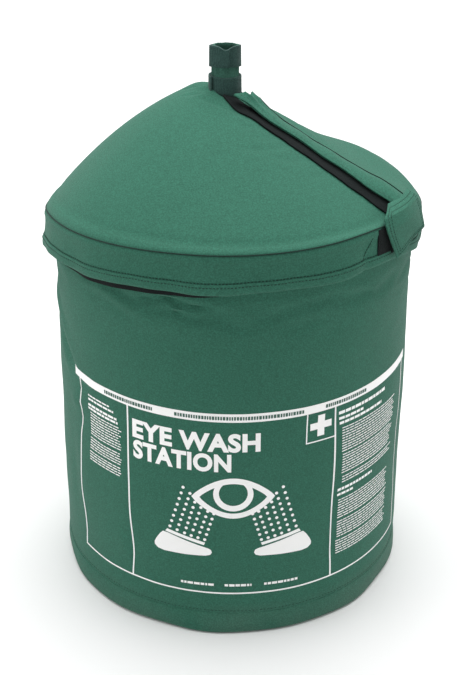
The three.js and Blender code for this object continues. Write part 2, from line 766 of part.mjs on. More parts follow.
function makeLid() {
  const landInside = coneRim - landWidth;
  const hole = neckRadius + gap;
  const between = (from, to, shares) => shares.map((t) => from + (to - from) * t);
  const surface = (r) => [r, coneHeight(r)];
  const lining = (r) => [r, coneHeight(r) - coneThroughDrop];
  const sides = [0, 0.4, 1];
  const cone = puffed(turned([
    [coneRim, lidRest], [coneRim, coneHeight(coneRim)],
    ...between(landInside, peakSplit + gap, sides).map(surface),
    ...between(peakSplit + gap, landInside, sides).map(lining),
    [landInside, lidRest],
  ]));
  const middle = [0, 0.5, 1];
  const peak = puffed(turned([
    ...between(peakSplit, hole, middle).map(surface),
    ...between(hole, peakSplit, middle).map(lining),
  ]));
  const skirt = turned([
    [skirtInside, hemBottom], [lidRadius, hemBottom], [lidRadius, seamHeight], [skirtInside, seamHeight],
  ]);
  const hemTop = hemBottom + hemDepth - gap - hemThickness;
  const hemFoot = hemBottom - gap - hemThickness;
  const hem = turned([
    [skirtInside - gap - hemThickness, hemFoot], [lidRadius + gap + hemThickness, hemFoot],
    [lidRadius + gap + hemThickness, hemTop], [lidRadius + gap, hemTop],
    [lidRadius + gap, hemBottom - gap], [skirtInside - gap, hemBottom - gap],
    [skirtInside - gap, hemTop], [skirtInside - gap - hemThickness, hemTop],
  ]);
  return [
    piece("lid_cone", cut(cone, slit()), greenFabric),
    piece("lid_peak", cut(peak, slit()), greenFabric),
    piece("lid_skirt", cut(skirt, slit()), greenFabric),
    piece("lid_hem", cut(hem, slit()), greenFabric),
  ];
}

// A strip that lies on the lid's cone: lift is its height above the fabric, nearY to farY its width.
function coneStrip(lift, thickness, nearY, farY, start, end) {
  const sine = Math.sin(coneAngle);
  const raise = (r, distance) => [r + distance * sine, coneHeight(r) + distance * Math.cos(coneAngle)];
  const inner = 20;
  const outer = lidRadius + 5;
  const shell = turned([
    raise(inner, lift), raise(outer, lift), raise(outer, lift + thickness), raise(inner, lift + thickness),
  ]);
  return common(shell, block(start, end, nearY, farY, 0, 2 * peakHeight));
}

// The same on the skirt.
function skirtStrip(lift, thickness, nearY, farY, foot, top) {
  const inner = lidRadius + lift;
  const shell = turned([[inner, foot], [inner + thickness, foot], [inner + thickness, top], [inner, top]]);
  return common(shell, block(0, 2 * lidRadius, nearY, farY, foot - 1, top + 1));
}

function makeClosure() {
  const welt = flapLift - 2 * gap;
  const foot = hemBottom + hemDepth + 2;
  const top = seamHeight - tabShort;
  const tabFoot = hemBottom - tabOverhang;
  const flap = coneStrip(flapLift, flapThickness, -flapLead, flapHinge, flapStart, flapEnd);
  const flapHook = coneStrip(hookLift, tapeThickness, 1 - flapLead, tapeFar, flapStart + 6, flapEnd - 5);
  const flapWelt = coneStrip(gap, welt, flapHinge - weltWidth, flapHinge, flapStart, flapEnd);
  const coneLoop = coneStrip(gap, tapeThickness, tapeNear, tapeFar, flapStart + 4, flapEnd - 3);
  const tab = skirtStrip(flapLift, flapThickness, -tabLead, tabHinge, tabFoot, top);
  const tabHook = skirtStrip(hookLift, tapeThickness, 1 - tabLead, tapeFar, foot + 1, top - 4);
  const tabWelt = skirtStrip(gap, welt, tabHinge - weltWidth, tabHinge, foot, top);
  const skirtLoop = skirtStrip(gap, tapeThickness, tapeNear, tapeFar, foot, top - 3);
  return [
    piece("slit_loop_tape", coneLoop, blackTape),
    piece("flap_hook_tape", flapHook, blackTape),
    piece("closure_flap", flap, greenFabric),
    piece("flap_welt", flapWelt, greenFabric),
    piece("skirt_loop_tape", skirtLoop, blackTape),
    piece("tab_hook_tape", tabHook, blackTape),
    piece("skirt_tab", tab, greenFabric),
    piece("tab_welt", tabWelt, greenFabric),
  ];
}

function makeNeck() {
  const neckInside = neckRadius - neckWall;
  const neckFoot = peakHeight - neckTurnIn;
  const tube = (inner, outer, low, high) =>
    turned([[inner, low], [outer, low], [outer, high], [inner, high]], mediumSides);
  const sleeve = tube(neckInside, neckRadius, neckFoot, neckTop);
  const strapInside = neckRadius + gap;
  const strapOutside = strapInside + strapThickness;
  const strap = (foot) => {
    const band = (inner, outer) => tube(inner, outer, foot, foot + strapWidth);
    const loop = band(strapInside, strapOutside);
    const over = band(strapInside + 1, strapOutside + strapThickness);
    const wedge = new THREE.Shape()
      .moveTo(0, 0)
      .absarc(0, 0, 60, radians(180), radians(180 + strapTailAngle));
    const depth = strapWidth + 2;
    const cutter = new THREE.ExtrudeGeometry(wedge, { depth, bevelEnabled: false, curveSegments: 4 });
    return joined(loop, common(over, cutter.translate(0, 0, foot - 1)));
  };
  const lowerFoot = coneHeight(strapInside) + gap;
  return [
    piece("neck_sleeve", cut(sleeve, slit()), greenFabric),
    piece("neck_strap_lower", strap(lowerFoot), darkWebbing),
    piece("neck_strap_upper", strap(lowerFoot + strapSpacing), darkWebbing),
  ];
}

function makeLidAssembly() {
  const lid = group(...makeLid(), ...makeClosure(), ...makeNeck());
  lid.rotation.z = radians(closureAngle - 90);
  return lid;
}

// ---------------------------------------------------------------- whole station

export default group(
  makeJacket(),
  makeTank(),
  makeFillPort(),
  makeHandle("right"),
  makeHandle("left"),
  makeOutletHead(),
  makeValve(),
  makeYoke(),
  makeSprayHead("right"),
  makeSprayHead("left"),
  makeGauge(),
  makeReliefValve(),
  makeAirValve(),
  makeLidAssembly(),
);
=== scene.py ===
import math
import random

import bpy
import numpy as np
from mathutils import Matrix, Vector
from mathutils.bvhtree import BVHTree
from mathutils.noise import noise


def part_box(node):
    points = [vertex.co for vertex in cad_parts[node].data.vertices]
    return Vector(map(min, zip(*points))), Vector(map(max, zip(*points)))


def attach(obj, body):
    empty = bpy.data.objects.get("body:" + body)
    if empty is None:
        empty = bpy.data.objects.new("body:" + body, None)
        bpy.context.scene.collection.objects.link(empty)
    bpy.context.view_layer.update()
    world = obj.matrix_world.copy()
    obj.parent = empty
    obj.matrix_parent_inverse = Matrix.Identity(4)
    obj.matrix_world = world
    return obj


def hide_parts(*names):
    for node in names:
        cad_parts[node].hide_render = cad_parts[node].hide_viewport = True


# Portable eyewash station in an insulated jacket. Metres, Z up, the front faces -Y.
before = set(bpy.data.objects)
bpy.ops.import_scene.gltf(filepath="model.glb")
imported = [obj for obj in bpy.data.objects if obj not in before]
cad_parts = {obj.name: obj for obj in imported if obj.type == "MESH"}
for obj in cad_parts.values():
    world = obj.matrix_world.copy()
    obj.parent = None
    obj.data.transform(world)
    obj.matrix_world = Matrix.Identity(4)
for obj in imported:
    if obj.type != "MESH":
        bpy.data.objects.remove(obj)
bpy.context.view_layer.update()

closureTurn = math.radians(-28)      # direction of the lid's slit
jacketRadius = 0.225


# Camera, floor and light
cameraSetup = {"distance": 1.795, "height": 1.2767, "pitch": 28.30, "roll": 0.35, "lens": 82.38}
lightSetup = {
    "overhead": {"at": (0.05, 0.9, 3.3), "size": 4.4, "power": 175, "aim": (0, 0.9, 0)},
    "leftSide": {"at": (-2.5, -0.7, 1.1), "size": 1.8, "power": 17, "aim": (0, 0, 0.3)},
    "rightSide": {"at": (2.5, -0.7, 1.1), "size": 1.8, "power": 9, "aim": (0, 0, 0.3)},
}


def setStage():
    data = bpy.data.cameras.new("stationCamera")
    data.lens, data.sensor_width = cameraSetup["lens"], 36
    camera = bpy.data.objects.new("stationCamera", data)
    bpy.context.scene.collection.objects.link(camera)
    tilt = Matrix.Rotation(math.radians(90 - cameraSetup["pitch"]), 4, "X")
    roll = Matrix.Rotation(math.radians(cameraSetup["roll"]), 4, "Z")
    camera.matrix_world = Matrix.Translation((0, -cameraSetup["distance"],
                                              cameraSetup["height"])) @ tilt @ roll
    bpy.context.scene.camera = camera
    bpy.context.scene.view_settings.view_transform = "Standard"

    for name, setup in lightSetup.items():
        lamp = bpy.data.lights.new(name, "AREA")
        lamp.shape, lamp.size, lamp.energy = "DISK", setup["size"], setup["power"]
        light = bpy.data.objects.new(name, lamp)
        bpy.context.scene.collection.objects.link(light)
        light.location = setup["at"]
        aim = Vector(setup["aim"]) - Vector(setup["at"])
        light.rotation_euler = aim.to_track_quat("-Z", "Y").to_euler()

    world = bpy.data.worlds.new("studio")
    world.use_nodes = True
    world.node_tree.nodes["Background"].inputs["Color"].default_value = (1, 1, 1, 1)
    world.node_tree.nodes["Background"].inputs["Strength"].default_value = 0.44
    bpy.context.scene.world = world

    deselectAll()
    bpy.ops.mesh.primitive_plane_add(size=30, location=(0, 2, -0.0006))
    floor = bpy.context.object
    floor.name = "studioFloor"
    paper = bpy.data.materials.new("paleFloor")
    paper.use_nodes = True
    shader = paper.node_tree.nodes["Principled BSDF"]
    shader.inputs["Base Color"].default_value = (0.88, 0.88, 0.88, 1)
    shader.inputs["Roughness"].default_value = 0.9
    floor.data.materials.append(paper)


def deselectAll():
    if bpy.context.object and bpy.context.object.mode != "OBJECT":
        bpy.ops.object.mode_set(mode="OBJECT")
    bpy.ops.object.select_all(action="DESELECT")


def activate(piece):
    deselectAll()
    piece.select_set(True)
    bpy.context.view_layer.objects.active = piece


def editAll(piece):
    activate(piece)
    bpy.ops.object.mode_set(mode="EDIT")
    bpy.ops.mesh.select_all(action="SELECT")


def leaveEdit():
    bpy.ops.object.mode_set(mode="OBJECT")


def pointsOf(piece):
    flat = np.empty(len(piece.data.vertices) * 3)
    piece.data.vertices.foreach_get("co", flat)
    return flat.reshape(-1, 3)


def setPoints(piece, places):
    piece.data.vertices.foreach_set("co", np.ascontiguousarray(places, dtype=np.float64).ravel())
    piece.data.update()


def moved(piece, mover):
    setPoints(piece, mover(pointsOf(piece)))
    return piece


def widened(places, factor):
    result = places.copy()
    result[:, :2] *= factor[:, None]
    return result


def outward(piece):
    editAll(piece)
    bpy.ops.mesh.normals_make_consistent(inside=False)
    leaveEdit()
    return piece


def addModifier(piece, kind, **values):
    modifier = piece.modifiers.new(kind.title(), kind)
    for key, value in values.items():
        setattr(modifier, key, value)
    activate(piece)
    bpy.ops.object.modifier_apply(modifier=modifier.name)
    return piece


def smoothed(piece, angle=40):
    activate(piece)
    bpy.ops.object.shade_smooth_by_angle(angle=math.radians(angle))
    return piece


def bevelled(piece, width=0.0006, segments=2, angle=32):
    addModifier(piece, "BEVEL", width=width, segments=segments, limit_method="ANGLE",
                angle_limit=math.radians(angle), harden_normals=False)
    return smoothed(piece)


# A profile of (radius, height) points drawn by extruding one vertex, then spun about Z.
def spun(name, profile, steps=64, sweep=360, close=True):
    deselectAll()
    bpy.ops.mesh.primitive_plane_add(size=0.001, location=(0, 0, 0))
    piece = bpy.context.object
    piece.name = piece.data.name = name
    bpy.ops.object.mode_set(mode="EDIT")
    bpy.ops.mesh.select_all(action="SELECT")
    bpy.ops.mesh.merge(type="CENTER")
    bpy.ops.transform.translate(value=(profile[0][0], 0, profile[0][1]))
    route = list(profile) + ([profile[0]] if close else [])
    for (r0, z0), (r1, z1) in zip(route, route[1:]):
        bpy.ops.mesh.extrude_region_move(TRANSFORM_OT_translate={"value": (r1 - r0, 0, z1 - z0)})
    bpy.ops.mesh.select_all(action="SELECT")
    bpy.ops.mesh.spin(steps=steps, angle=math.radians(sweep), center=(0, 0, 0), axis=(0, 0, 1))
    bpy.ops.mesh.select_all(action="SELECT")
    bpy.ops.mesh.remove_doubles(threshold=0.00002)
    bpy.ops.mesh.normals_make_consistent(inside=False)
    leaveEdit()
    return piece


def sheetGrid(name, across, along):
    deselectAll()
    bpy.ops.mesh.primitive_grid_add(x_subdivisions=across, y_subdivisions=along, size=1, location=(0, 0, 0))
    piece = bpy.context.object
    piece.name = piece.data.name = name
    return piece


# One closed strip of cloth from a grid: place gives the upper face, and thickness grows under it.
def clothStrip(name, across, along, place, thickness, rounding=0.0007, even=False):
    piece = sheetGrid(name, across, along)
    moved(piece, lambda p: place(np.clip(p[:, 0] + 0.5, 0, 1), np.clip(p[:, 1] + 0.5, 0, 1)))
    addModifier(piece, "SOLIDIFY", thickness=thickness, offset=-1, use_even_offset=even)
    return bevelled(piece, rounding, 2, 50)


def meshPiece(name, points, faces):
    mesh = bpy.data.meshes.new(name)
    mesh.from_pydata(points, [], faces)
    mesh.update()
    piece = bpy.data.objects.new(name, mesh)
    bpy.context.scene.collection.objects.link(piece)
    return piece


# One small template is copied along many places and joined into one piece.
def copiesAt(name, template, places):
    mesh = template.data
    base = pointsOf(template)
    faces = [list(f.vertices) for f in mesh.polygons]
    count = len(base)
    points, polygons = [], []
    for i, place in enumerate(places):
        turn = np.array(place.to_3x3())
        points.append(base @ turn.T + np.array(place.translation))
        polygons += [[v + i * count for v in f] for f in faces]
    piece = meshPiece(name, np.concatenate(points).tolist(), polygons)
    bpy.data.objects.remove(template)
    return smoothed(piece, 60)


def frameAt(at, along, out):
    x = Vector(along).normalized()
    z = (Vector(out) - Vector(out).dot(x) * x).normalized()
    y = z.cross(x)
    turn = Matrix((x, y, z)).transposed().to_4x4()
    return Matrix.Translation(at) @ turn


def cornerPlaces(piece):
    corner = np.empty(len(piece.data.loops), dtype=np.int32)
    piece.data.loops.foreach_get("vertex_index", corner)
    return pointsOf(piece)[corner]


# The cloth map of a piece that goes round: metres along its ring and up it
def ringMap(piece, radius=jacketRadius):
    layer = piece.data.uv_layers.new(name="cloth")
    total = np.empty(len(piece.data.polygons), dtype=np.int32)
    piece.data.polygons.foreach_get("loop_total", total)
    places = cornerPlaces(piece)
    angle = np.arctan2(places[:, 1], places[:, 0])
    first = np.repeat(angle[np.concatenate([[0], np.cumsum(total)[:-1]])], total)
    angle = first + (angle - first + math.pi) % (2 * math.pi) - math.pi
    flat = np.stack([angle * radius, places[:, 2] + np.hypot(places[:, 0], places[:, 1])], 1)
    layer.data.foreach_set("uv", flat.astype(np.float32).ravel())
    return piece


# The cloth map of a piece that lies flat
def flatMap(piece, turn=0.0):
    layer = piece.data.uv_layers.new(name="cloth")
    x, y = cornerPlaces(piece)[:, :2].T
    c, s = math.cos(turn), math.sin(turn)
    layer.data.foreach_set("uv", np.stack([c * x + s * y, c * y - s * x], 1).astype(np.float32).ravel())
    return piece


def finished(piece, body, material, slot, *replaced):
    piece.data.materials.clear()
    piece.data.materials.append(material)
    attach(piece, body)
    if replaced:
        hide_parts(*replaced)
    return piece


# Shader groups
def newGroup(name, inputs, outputs):
    tree = bpy.data.node_groups.new(name, "ShaderNodeTree")
    for label, kind, value in inputs:
        socket = tree.interface.new_socket(label, in_out="INPUT", socket_type=kind)
        socket.default_value = value
    for label, kind in outputs:
        tree.interface.new_socket(label, in_out="OUTPUT", socket_type=kind)
    return tree, tree.nodes.new("NodeGroupInput"), tree.nodes.new("NodeGroupOutput")


def addNode(tree, kind, **values):
    node = tree.nodes.new(kind)
    for key, value in values.items():
        if key == "inputs":
            for socket, number in value.items():
                node.inputs[socket].default_value = number
        else:
            setattr(node, key, value)
    return node


def mathNode(tree, operation, first, second=None):
    node = tree.nodes.new("ShaderNodeMath")
    node.operation = operation
    for i, value in enumerate((first, second)):
        if value is None:
            continue
        if isinstance(value, (int, float)):
            node.inputs[i].default_value = value
        else:
            tree.links.new(value, node.inputs[i])
    return node.outputs[0]


floatSocket, colourSocket = "NodeSocketFloat", "NodeSocketColor"


# Threads over and under, read from the piece's own cloth map; the second output marks the hollows between threads,
# where shade is painted
def makeWeaveGroup():
    tree, given, out = newGroup(
        "wovenThreads", [("Pitch", floatSocket, 0.001), ("Ribs", floatSocket, 0.0)],
        [("Height", floatSocket), ("Mask", floatSocket)])
    cloth = addNode(tree, "ShaderNodeUVMap", uv_map="cloth")
    split = tree.nodes.new("ShaderNodeSeparateXYZ")
    tree.links.new(cloth.outputs["UV"], split.inputs[0])
    rate = mathNode(tree, "DIVIDE", math.pi, given.outputs["Pitch"])
    warp = mathNode(tree, "SINE", mathNode(tree, "MULTIPLY", split.outputs["X"], rate))
    weft = mathNode(tree, "SINE", mathNode(tree, "MULTIPLY", split.outputs["Y"], rate))
    cross = mathNode(tree, "ABSOLUTE", mathNode(tree, "MULTIPLY", warp, weft))
    ribs = mathNode(tree, "ABSOLUTE", warp)
    mix = tree.nodes.new("ShaderNodeMix")
    tree.links.new(given.outputs["Ribs"], mix.inputs[0])
    tree.links.new(cross, mix.inputs[2])
    tree.links.new(ribs, mix.inputs[3])
    tree.links.new(mix.outputs[0], out.inputs["Height"])
    tree.links.new(mathNode(tree, "SUBTRACT", 1.0, mix.outputs[0]), out.inputs["Mask"])
    return tree


# Uneven dye, handling marks and dust that gathers near the floor
def makeDyeGroup():
    tree, given, out = newGroup(
        "agedColour",
        [("Base", colourSocket, (0.05, 0.15, 0.1, 1)), ("Faded", colourSocket, (0.1, 0.2, 0.15, 1)),
         ("Fading", floatSocket, 0.4), ("Dust", floatSocket, 0.3), ("Patch", floatSocket, 7.0),
         ("Fleck", floatSocket, 620.0)],
        [("Color", colourSocket), ("Rough", floatSocket), ("Fleck", floatSocket)])
    place = tree.nodes.new("ShaderNodeTexCoord")
    patches = addNode(tree, "ShaderNodeTexNoise", inputs={"Detail": 4.0, "Roughness": 0.6})
    fleck = addNode(tree, "ShaderNodeTexNoise", inputs={"Detail": 2.0})
    for texture, label in ((patches, "Patch"), (fleck, "Fleck")):
        tree.links.new(place.outputs["Object"], texture.inputs["Vector"])
        tree.links.new(given.outputs[label], texture.inputs["Scale"])
    ramp = addNode(tree, "ShaderNodeMapRange", inputs={"From Min": 0.35, "From Max": 0.75})
    tree.links.new(patches.outputs["Fac"], ramp.inputs["Value"])
    amount = mathNode(tree, "MULTIPLY", ramp.outputs[0], given.outputs["Fading"])
    dyed = addNode(tree, "ShaderNodeMix", data_type="RGBA")
    tree.links.new(amount, dyed.inputs["Factor"])
    tree.links.new(given.outputs["Base"], dyed.inputs["A"])
    tree.links.new(given.outputs["Faded"], dyed.inputs["B"])
    split = tree.nodes.new("ShaderNodeSeparateXYZ")
    tree.links.new(place.outputs["Object"], split.inputs[0])
    low = addNode(tree, "ShaderNodeMapRange", inputs={"From Min": 0.05, "From Max": 0.0})
    tree.links.new(split.outputs["Z"], low.inputs["Value"])
    speck = addNode(tree, "ShaderNodeMapRange", inputs={"From Min": 0.38, "From Max": 0.66, "To Min": -0.2,
                                                        "To Max": 0.2})
    tree.links.new(fleck.outputs["Fac"], speck.inputs["Value"])
    dusty = mathNode(tree, "MULTIPLY", mathNode(tree, "MULTIPLY", low.outputs[0], ramp.outputs[0]),
                     given.outputs["Dust"])
    aged = addNode(tree, "ShaderNodeMix", data_type="RGBA", inputs={"B": (0.23, 0.24, 0.21, 1)})
    tree.links.new(dusty, aged.inputs["Factor"])
    tree.links.new(dyed.outputs["Result"], aged.inputs["A"])
    tone = addNode(tree, "ShaderNodeHueSaturation")
    tree.links.new(mathNode(tree, "ADD", speck.outputs[0], 1.0), tone.inputs["Value"])
    tree.links.new(aged.outputs["Result"], tone.inputs["Color"])
    tree.links.new(tone.outputs["Color"], out.inputs["Color"])
    tree.links.new(mathNode(tree, "MULTIPLY", amount, 0.12), out.inputs["Rough"])
    tree.links.new(fleck.outputs["Fac"], out.inputs["Fleck"])
    return tree


# Fine drawn lines and smudges on metal, or the grain of a moulding
def makeSurfaceGroup():
    tree, given, out = newGroup(
        "handledSurface",
        [("Stretch", floatSocket, 1.0), ("Scale", floatSocket, 300.0), ("Base Roughness", floatSocket, 0.3),
         ("Smudge", floatSocket, 0.15)],
        [("Height", floatSocket), ("Roughness", floatSocket), ("Shade", floatSocket)])
    place = tree.nodes.new("ShaderNodeTexCoord")
    split = tree.nodes.new("ShaderNodeSeparateXYZ")
    tree.links.new(place.outputs["Object"], split.inputs[0])
    join = tree.nodes.new("ShaderNodeCombineXYZ")
    tree.links.new(split.outputs["X"], join.inputs["X"])
    tree.links.new(split.outputs["Y"], join.inputs["Y"])
    tree.links.new(mathNode(tree, "MULTIPLY", split.outputs["Z"], given.outputs["Stretch"]), join.inputs["Z"])
    grain = addNode(tree, "ShaderNodeTexNoise", inputs={"Detail": 3.0})
    tree.links.new(join.outputs[0], grain.inputs["Vector"])
    tree.links.new(given.outputs["Scale"], grain.inputs["Scale"])
    marks = addNode(tree, "ShaderNodeTexNoise", inputs={"Scale": 22.0, "Detail": 5.0})
    tree.links.new(place.outputs["Object"], marks.inputs["Vector"])
    spread = addNode(tree, "ShaderNodeMapRange", inputs={"From Min": 0.4, "From Max": 0.75})
    tree.links.new(marks.outputs["Fac"], spread.inputs["Value"])
    extra = mathNode(tree, "MULTIPLY", spread.outputs[0], given.outputs["Smudge"])
    tree.links.new(grain.outputs["Fac"], out.inputs["Height"])
    tree.links.new(mathNode(tree, "ADD", given.outputs["Base Roughness"], extra), out.inputs["Roughness"])
    tree.links.new(spread.outputs[0], out.inputs["Shade"])
    return tree


weaveGroup, dyeGroup, surfaceGroup = makeWeaveGroup(), makeDyeGroup(), makeSurfaceGroup()


def startMaterial(name):
    material = bpy.data.materials.new(name)
    material.use_nodes = True
    return material, material.node_tree, material.node_tree.nodes["Principled BSDF"]


def placed(tree, group, values):
    node = tree.nodes.new("ShaderNodeGroup")
    node.node_tree = group
    for label, value in values.items():
        node.inputs[label].default_value = value
    return node


def clothFinish(name, base, faded, pitch=0.0011, ribs=0.0, relief=0.0002, roughness=0.82, sheen=0.07,
                fading=0.4, dust=0.3, fuzz=0.0):
    material, tree, shader = startMaterial(name)
    weave = placed(tree, weaveGroup, {"Pitch": pitch, "Ribs": ribs})
    dye = placed(tree, dyeGroup, {"Base": (*base, 1), "Faded": (*faded, 1), "Fading": fading, "Dust": dust})
    # painted shade: the cloth colour is darkened in the hollows between threads
    threadGapShade = addNode(tree, "ShaderNodeMix", data_type="RGBA", blend_type="MULTIPLY",
                   inputs={"B": (0.78, 0.8, 0.8, 1)})
    tree.links.new(mathNode(tree, "MULTIPLY", weave.outputs["Mask"], 0.5), threadGapShade.inputs["Factor"])
    tree.links.new(dye.outputs["Color"], threadGapShade.inputs["A"])
    tree.links.new(threadGapShade.outputs["Result"], shader.inputs["Base Color"])
    tree.links.new(mathNode(tree, "ADD", dye.outputs["Rough"], roughness), shader.inputs["Roughness"])
    height = mathNode(tree, "ADD", mathNode(tree, "MULTIPLY", weave.outputs["Height"], 1 - fuzz),
                      mathNode(tree, "MULTIPLY", dye.outputs["Fleck"], 0.5 + 2.5 * fuzz))
    bump = addNode(tree, "ShaderNodeBump", inputs={"Strength": 0.6, "Distance": relief})
    tree.links.new(height, bump.inputs["Height"])
    tree.links.new(bump.outputs["Normal"], shader.inputs["Normal"])
    shader.inputs["Sheen Weight"].default_value = sheen
    shader.inputs["Sheen Roughness"].default_value = 0.45
    shader.inputs["Specular IOR Level"].default_value = 0.2
    return material


def hardFinish(name, colour, metal=0.0, roughness=0.3, smudge=0.15, stretch=1.0, scale=300.0, relief=0.00005,
               shade=0.12, coat=0.0):
    material, tree, shader = startMaterial(name)
    surface = placed(tree, surfaceGroup, {"Stretch": stretch, "Scale": scale, "Base Roughness": roughness,
                                          "Smudge": smudge})
    worn = addNode(tree, "ShaderNodeMix", data_type="RGBA",
                   inputs={"A": (*colour, 1), "B": (*[c * 0.72 for c in colour], 1)})
    tree.links.new(mathNode(tree, "MULTIPLY", surface.outputs["Shade"], shade), worn.inputs["Factor"])
    tree.links.new(worn.outputs["Result"], shader.inputs["Base Color"])
    tree.links.new(surface.outputs["Roughness"], shader.inputs["Roughness"])
    bump = addNode(tree, "ShaderNodeBump", inputs={"Strength": 0.35, "Distance": relief})
    tree.links.new(surface.outputs["Height"], bump.inputs["Height"])
    tree.links.new(bump.outputs["Normal"], shader.inputs["Normal"])
    shader.inputs["Metallic"].default_value = metal
    shader.inputs["Coat Weight"].default_value = coat
    return material


greenCloth = clothFinish("greenCloth", (0.031, 0.138, 0.092), (0.044, 0.166, 0.114), fading=0.5)
greenEdging = clothFinish("greenEdging", (0.034, 0.118, 0.086), (0.05, 0.15, 0.11), pitch=0.0014,
                          relief=0.0003)
neckCloth = clothFinish("neckCloth", (0.040, 0.125, 0.092), (0.045, 0.13, 0.095))
strapWebbing = clothFinish("strapWebbing", (0.028, 0.072, 0.062), (0.05, 0.1, 0.09), pitch=0.0016, ribs=0.7,
                           relief=0.0005, sheen=0.15)
hookTape = clothFinish("hookTape", (0.005, 0.008, 0.008), (0.016, 0.021, 0.021), pitch=0.0013, relief=0.001,
                       roughness=0.95, sheen=0.02, fuzz=0.6, fading=0.7)
greyFoam = clothFinish("greyFoam", (0.25, 0.27, 0.265), (0.33, 0.34, 0.335), pitch=0.002, relief=0.0006,
                       roughness=0.92, sheen=0.1, fuzz=0.8)
darkThread = clothFinish("darkThread", (0.008, 0.030, 0.022), (0.014, 0.045, 0.033), pitch=0.0005,
                         relief=0.0001, fading=0.3)
seamThread = clothFinish("seamThread", (0.055, 0.15, 0.11), (0.09, 0.2, 0.15), pitch=0.0005, relief=0.0001)
linerFoil = hardFinish("linerFoil", (0.62, 0.64, 0.65), metal=0.75, roughness=0.38, smudge=0.25, scale=90.0,
                       relief=0.0012, shade=0.3)
brushedSteel = hardFinish("brushedSteel", (0.60, 0.61, 0.62), metal=1.0, roughness=0.28, smudge=0.18,
                          stretch=0.03, scale=900.0)
plainSteel = hardFinish("plainSteel", (0.62, 0.62, 0.62), metal=1.0, roughness=0.25, smudge=0.2, scale=500.0)
chromePlate = hardFinish("chromePlate", (0.78, 0.79, 0.80), metal=1.0, roughness=0.08, smudge=0.12,
                         scale=60.0, relief=0.00002)
castBrass = hardFinish("castBrass", (0.60, 0.42, 0.16), metal=1.0, roughness=0.26, smudge=0.22, shade=0.4)
yellowPlastic = hardFinish("yellowPlastic", (0.78, 0.52, 0.03), roughness=0.36, scale=1600.0, coat=0.15)
greenPlastic = hardFinish("greenPlastic", (0.02, 0.19, 0.075), roughness=0.36, scale=1600.0, coat=0.15)
blackPlastic = hardFinish("blackPlastic", (0.012, 0.012, 0.013), roughness=0.42, scale=1600.0, relief=0.0001)
blackRubber = hardFinish("blackRubber", (0.014, 0.014, 0.014), roughness=0.72, scale=1200.0, relief=0.00015)
whiteEnamel = hardFinish("whiteEnamel", (0.84, 0.84, 0.81), roughness=0.4, scale=700.0, shade=0.1)
redEnamel = hardFinish("redEnamel", (0.5, 0.02, 0.012), roughness=0.35, scale=700.0)
whiteInk = hardFinish("whiteInk", (0.96, 0.96, 0.95), roughness=0.5, smudge=0.2, scale=1400.0,
                      relief=0.00012, shade=0.12)
greenInk = hardFinish("greenInk", (0.035, 0.11, 0.08), roughness=0.6, scale=1400.0)
dialInk = hardFinish("dialInk", (0.02, 0.02, 0.02), roughness=0.5, scale=900.0)


def makeLensGlass():
    material, tree, shader = startMaterial("lensGlass")
    surface = placed(tree, surfaceGroup, {"Scale": 40.0, "Base Roughness": 0.02, "Smudge": 0.05})
    tree.links.new(surface.outputs["Roughness"], shader.inputs["Roughness"])
    shader.inputs["Base Color"].default_value = (0.93, 0.96, 0.96, 1)
    shader.inputs["Transmission Weight"].default_value = 1.0
    shader.inputs["IOR"].default_value = 1.45
    return material


lensGlass = makeLensGlass()
print("stage: shader groups and finishes made")


# The slumped form that the lid and the jacket's mouth share
lidShape = {
    "peakRadius": 0.019, "shoulderRadius": 0.222, "rimRadius": 0.2345, "thickness": 0.0112,
    "peak": ((0, .648), (60, .650), (110, .654), (150, .658), (190, .656), (240, .650), (300, .646),
             (325, .646), (345, .646)),
    "shoulder": ((0, .519), (20, .519), (40, .519), (60, .516), (90, .514), (120, .513), (150, .505),
                 (165, .506), (180, .516),
                 (195, .529), (225, .541), (250, .545), (270, .546), (300, .546), (325, .543), (340, .534),
                 (350, .525)),
    "swell": ((0, -.007), (20, -.010), (40, -.008), (60, -.006), (90, .001), (110, .010), (125, .020),
              (150, .025), (180, .028),
              (225, .020), (270, .009), (300, .003), (325, .000), (345, -.005)),
    "seam": ((0, .510), (20, .507), (40, .508), (60, .509), (90, .509), (120, .503), (150, .493),
             (165, .490), (180, .501),
             (195, .518), (225, .531), (250, .539), (270, .541), (300, .543), (315, .546), (325, .541),
             (335, .535), (348, .522)),
    "flare": ((0, .001), (60, .002), (120, .003), (165, .0055), (195, .004), (225, .002), (270, .0008),
              (330, .0012)),
}
# ridges and hollows left by handling: direction, distance from the axis, half widths round and out, height
lidFolds = (
    (148, 0.046, 22, 0.016, 0.004),
    (28, 0.196, 20, 0.030, 0.006),
    (48, 0.105, 16, 0.035, -0.006),
    (196, 0.150, 9, 0.060, -0.0018),
    (344, 0.206, 13, 0.030, 0.005),
    (300, 0.052, 10, 0.030, 0.002),
)


# how far the surface stands up along the closure: distance out, height; then its middle and half width across
closureRidge = {"out": (0.02, 0.06, 0.10, 0.13, 0.16, 0.19, 0.235),
                "rise": (-0.004, -0.004, -0.002, 0.002, 0.005, 0.009, 0.010),
                "middle": 0.008, "half": 0.030}


def ringTable(table):
    degrees = np.arange(0, 360, 0.5)
    angles, values = np.array(table).T
    steps = np.interp(degrees, np.append(angles, 360 + angles[0]), np.append(values, values[0]))
    window = np.exp(-0.5 * (np.arange(-40, 41) / 14.0) ** 2)
    smooth = np.convolve(np.tile(steps, 3), window / window.sum(), "same")[720:1440]
    return lambda angle: np.interp(np.degrees(angle) % 360, np.append(degrees, 360),
                                   np.append(smooth, smooth[0]))


peakHeight, shoulderHeight, lidSwell, seamHeight, skirtFlare = (
    ringTable(lidShape[key]) for key in ("peak", "shoulder", "swell", "seam", "flare"))


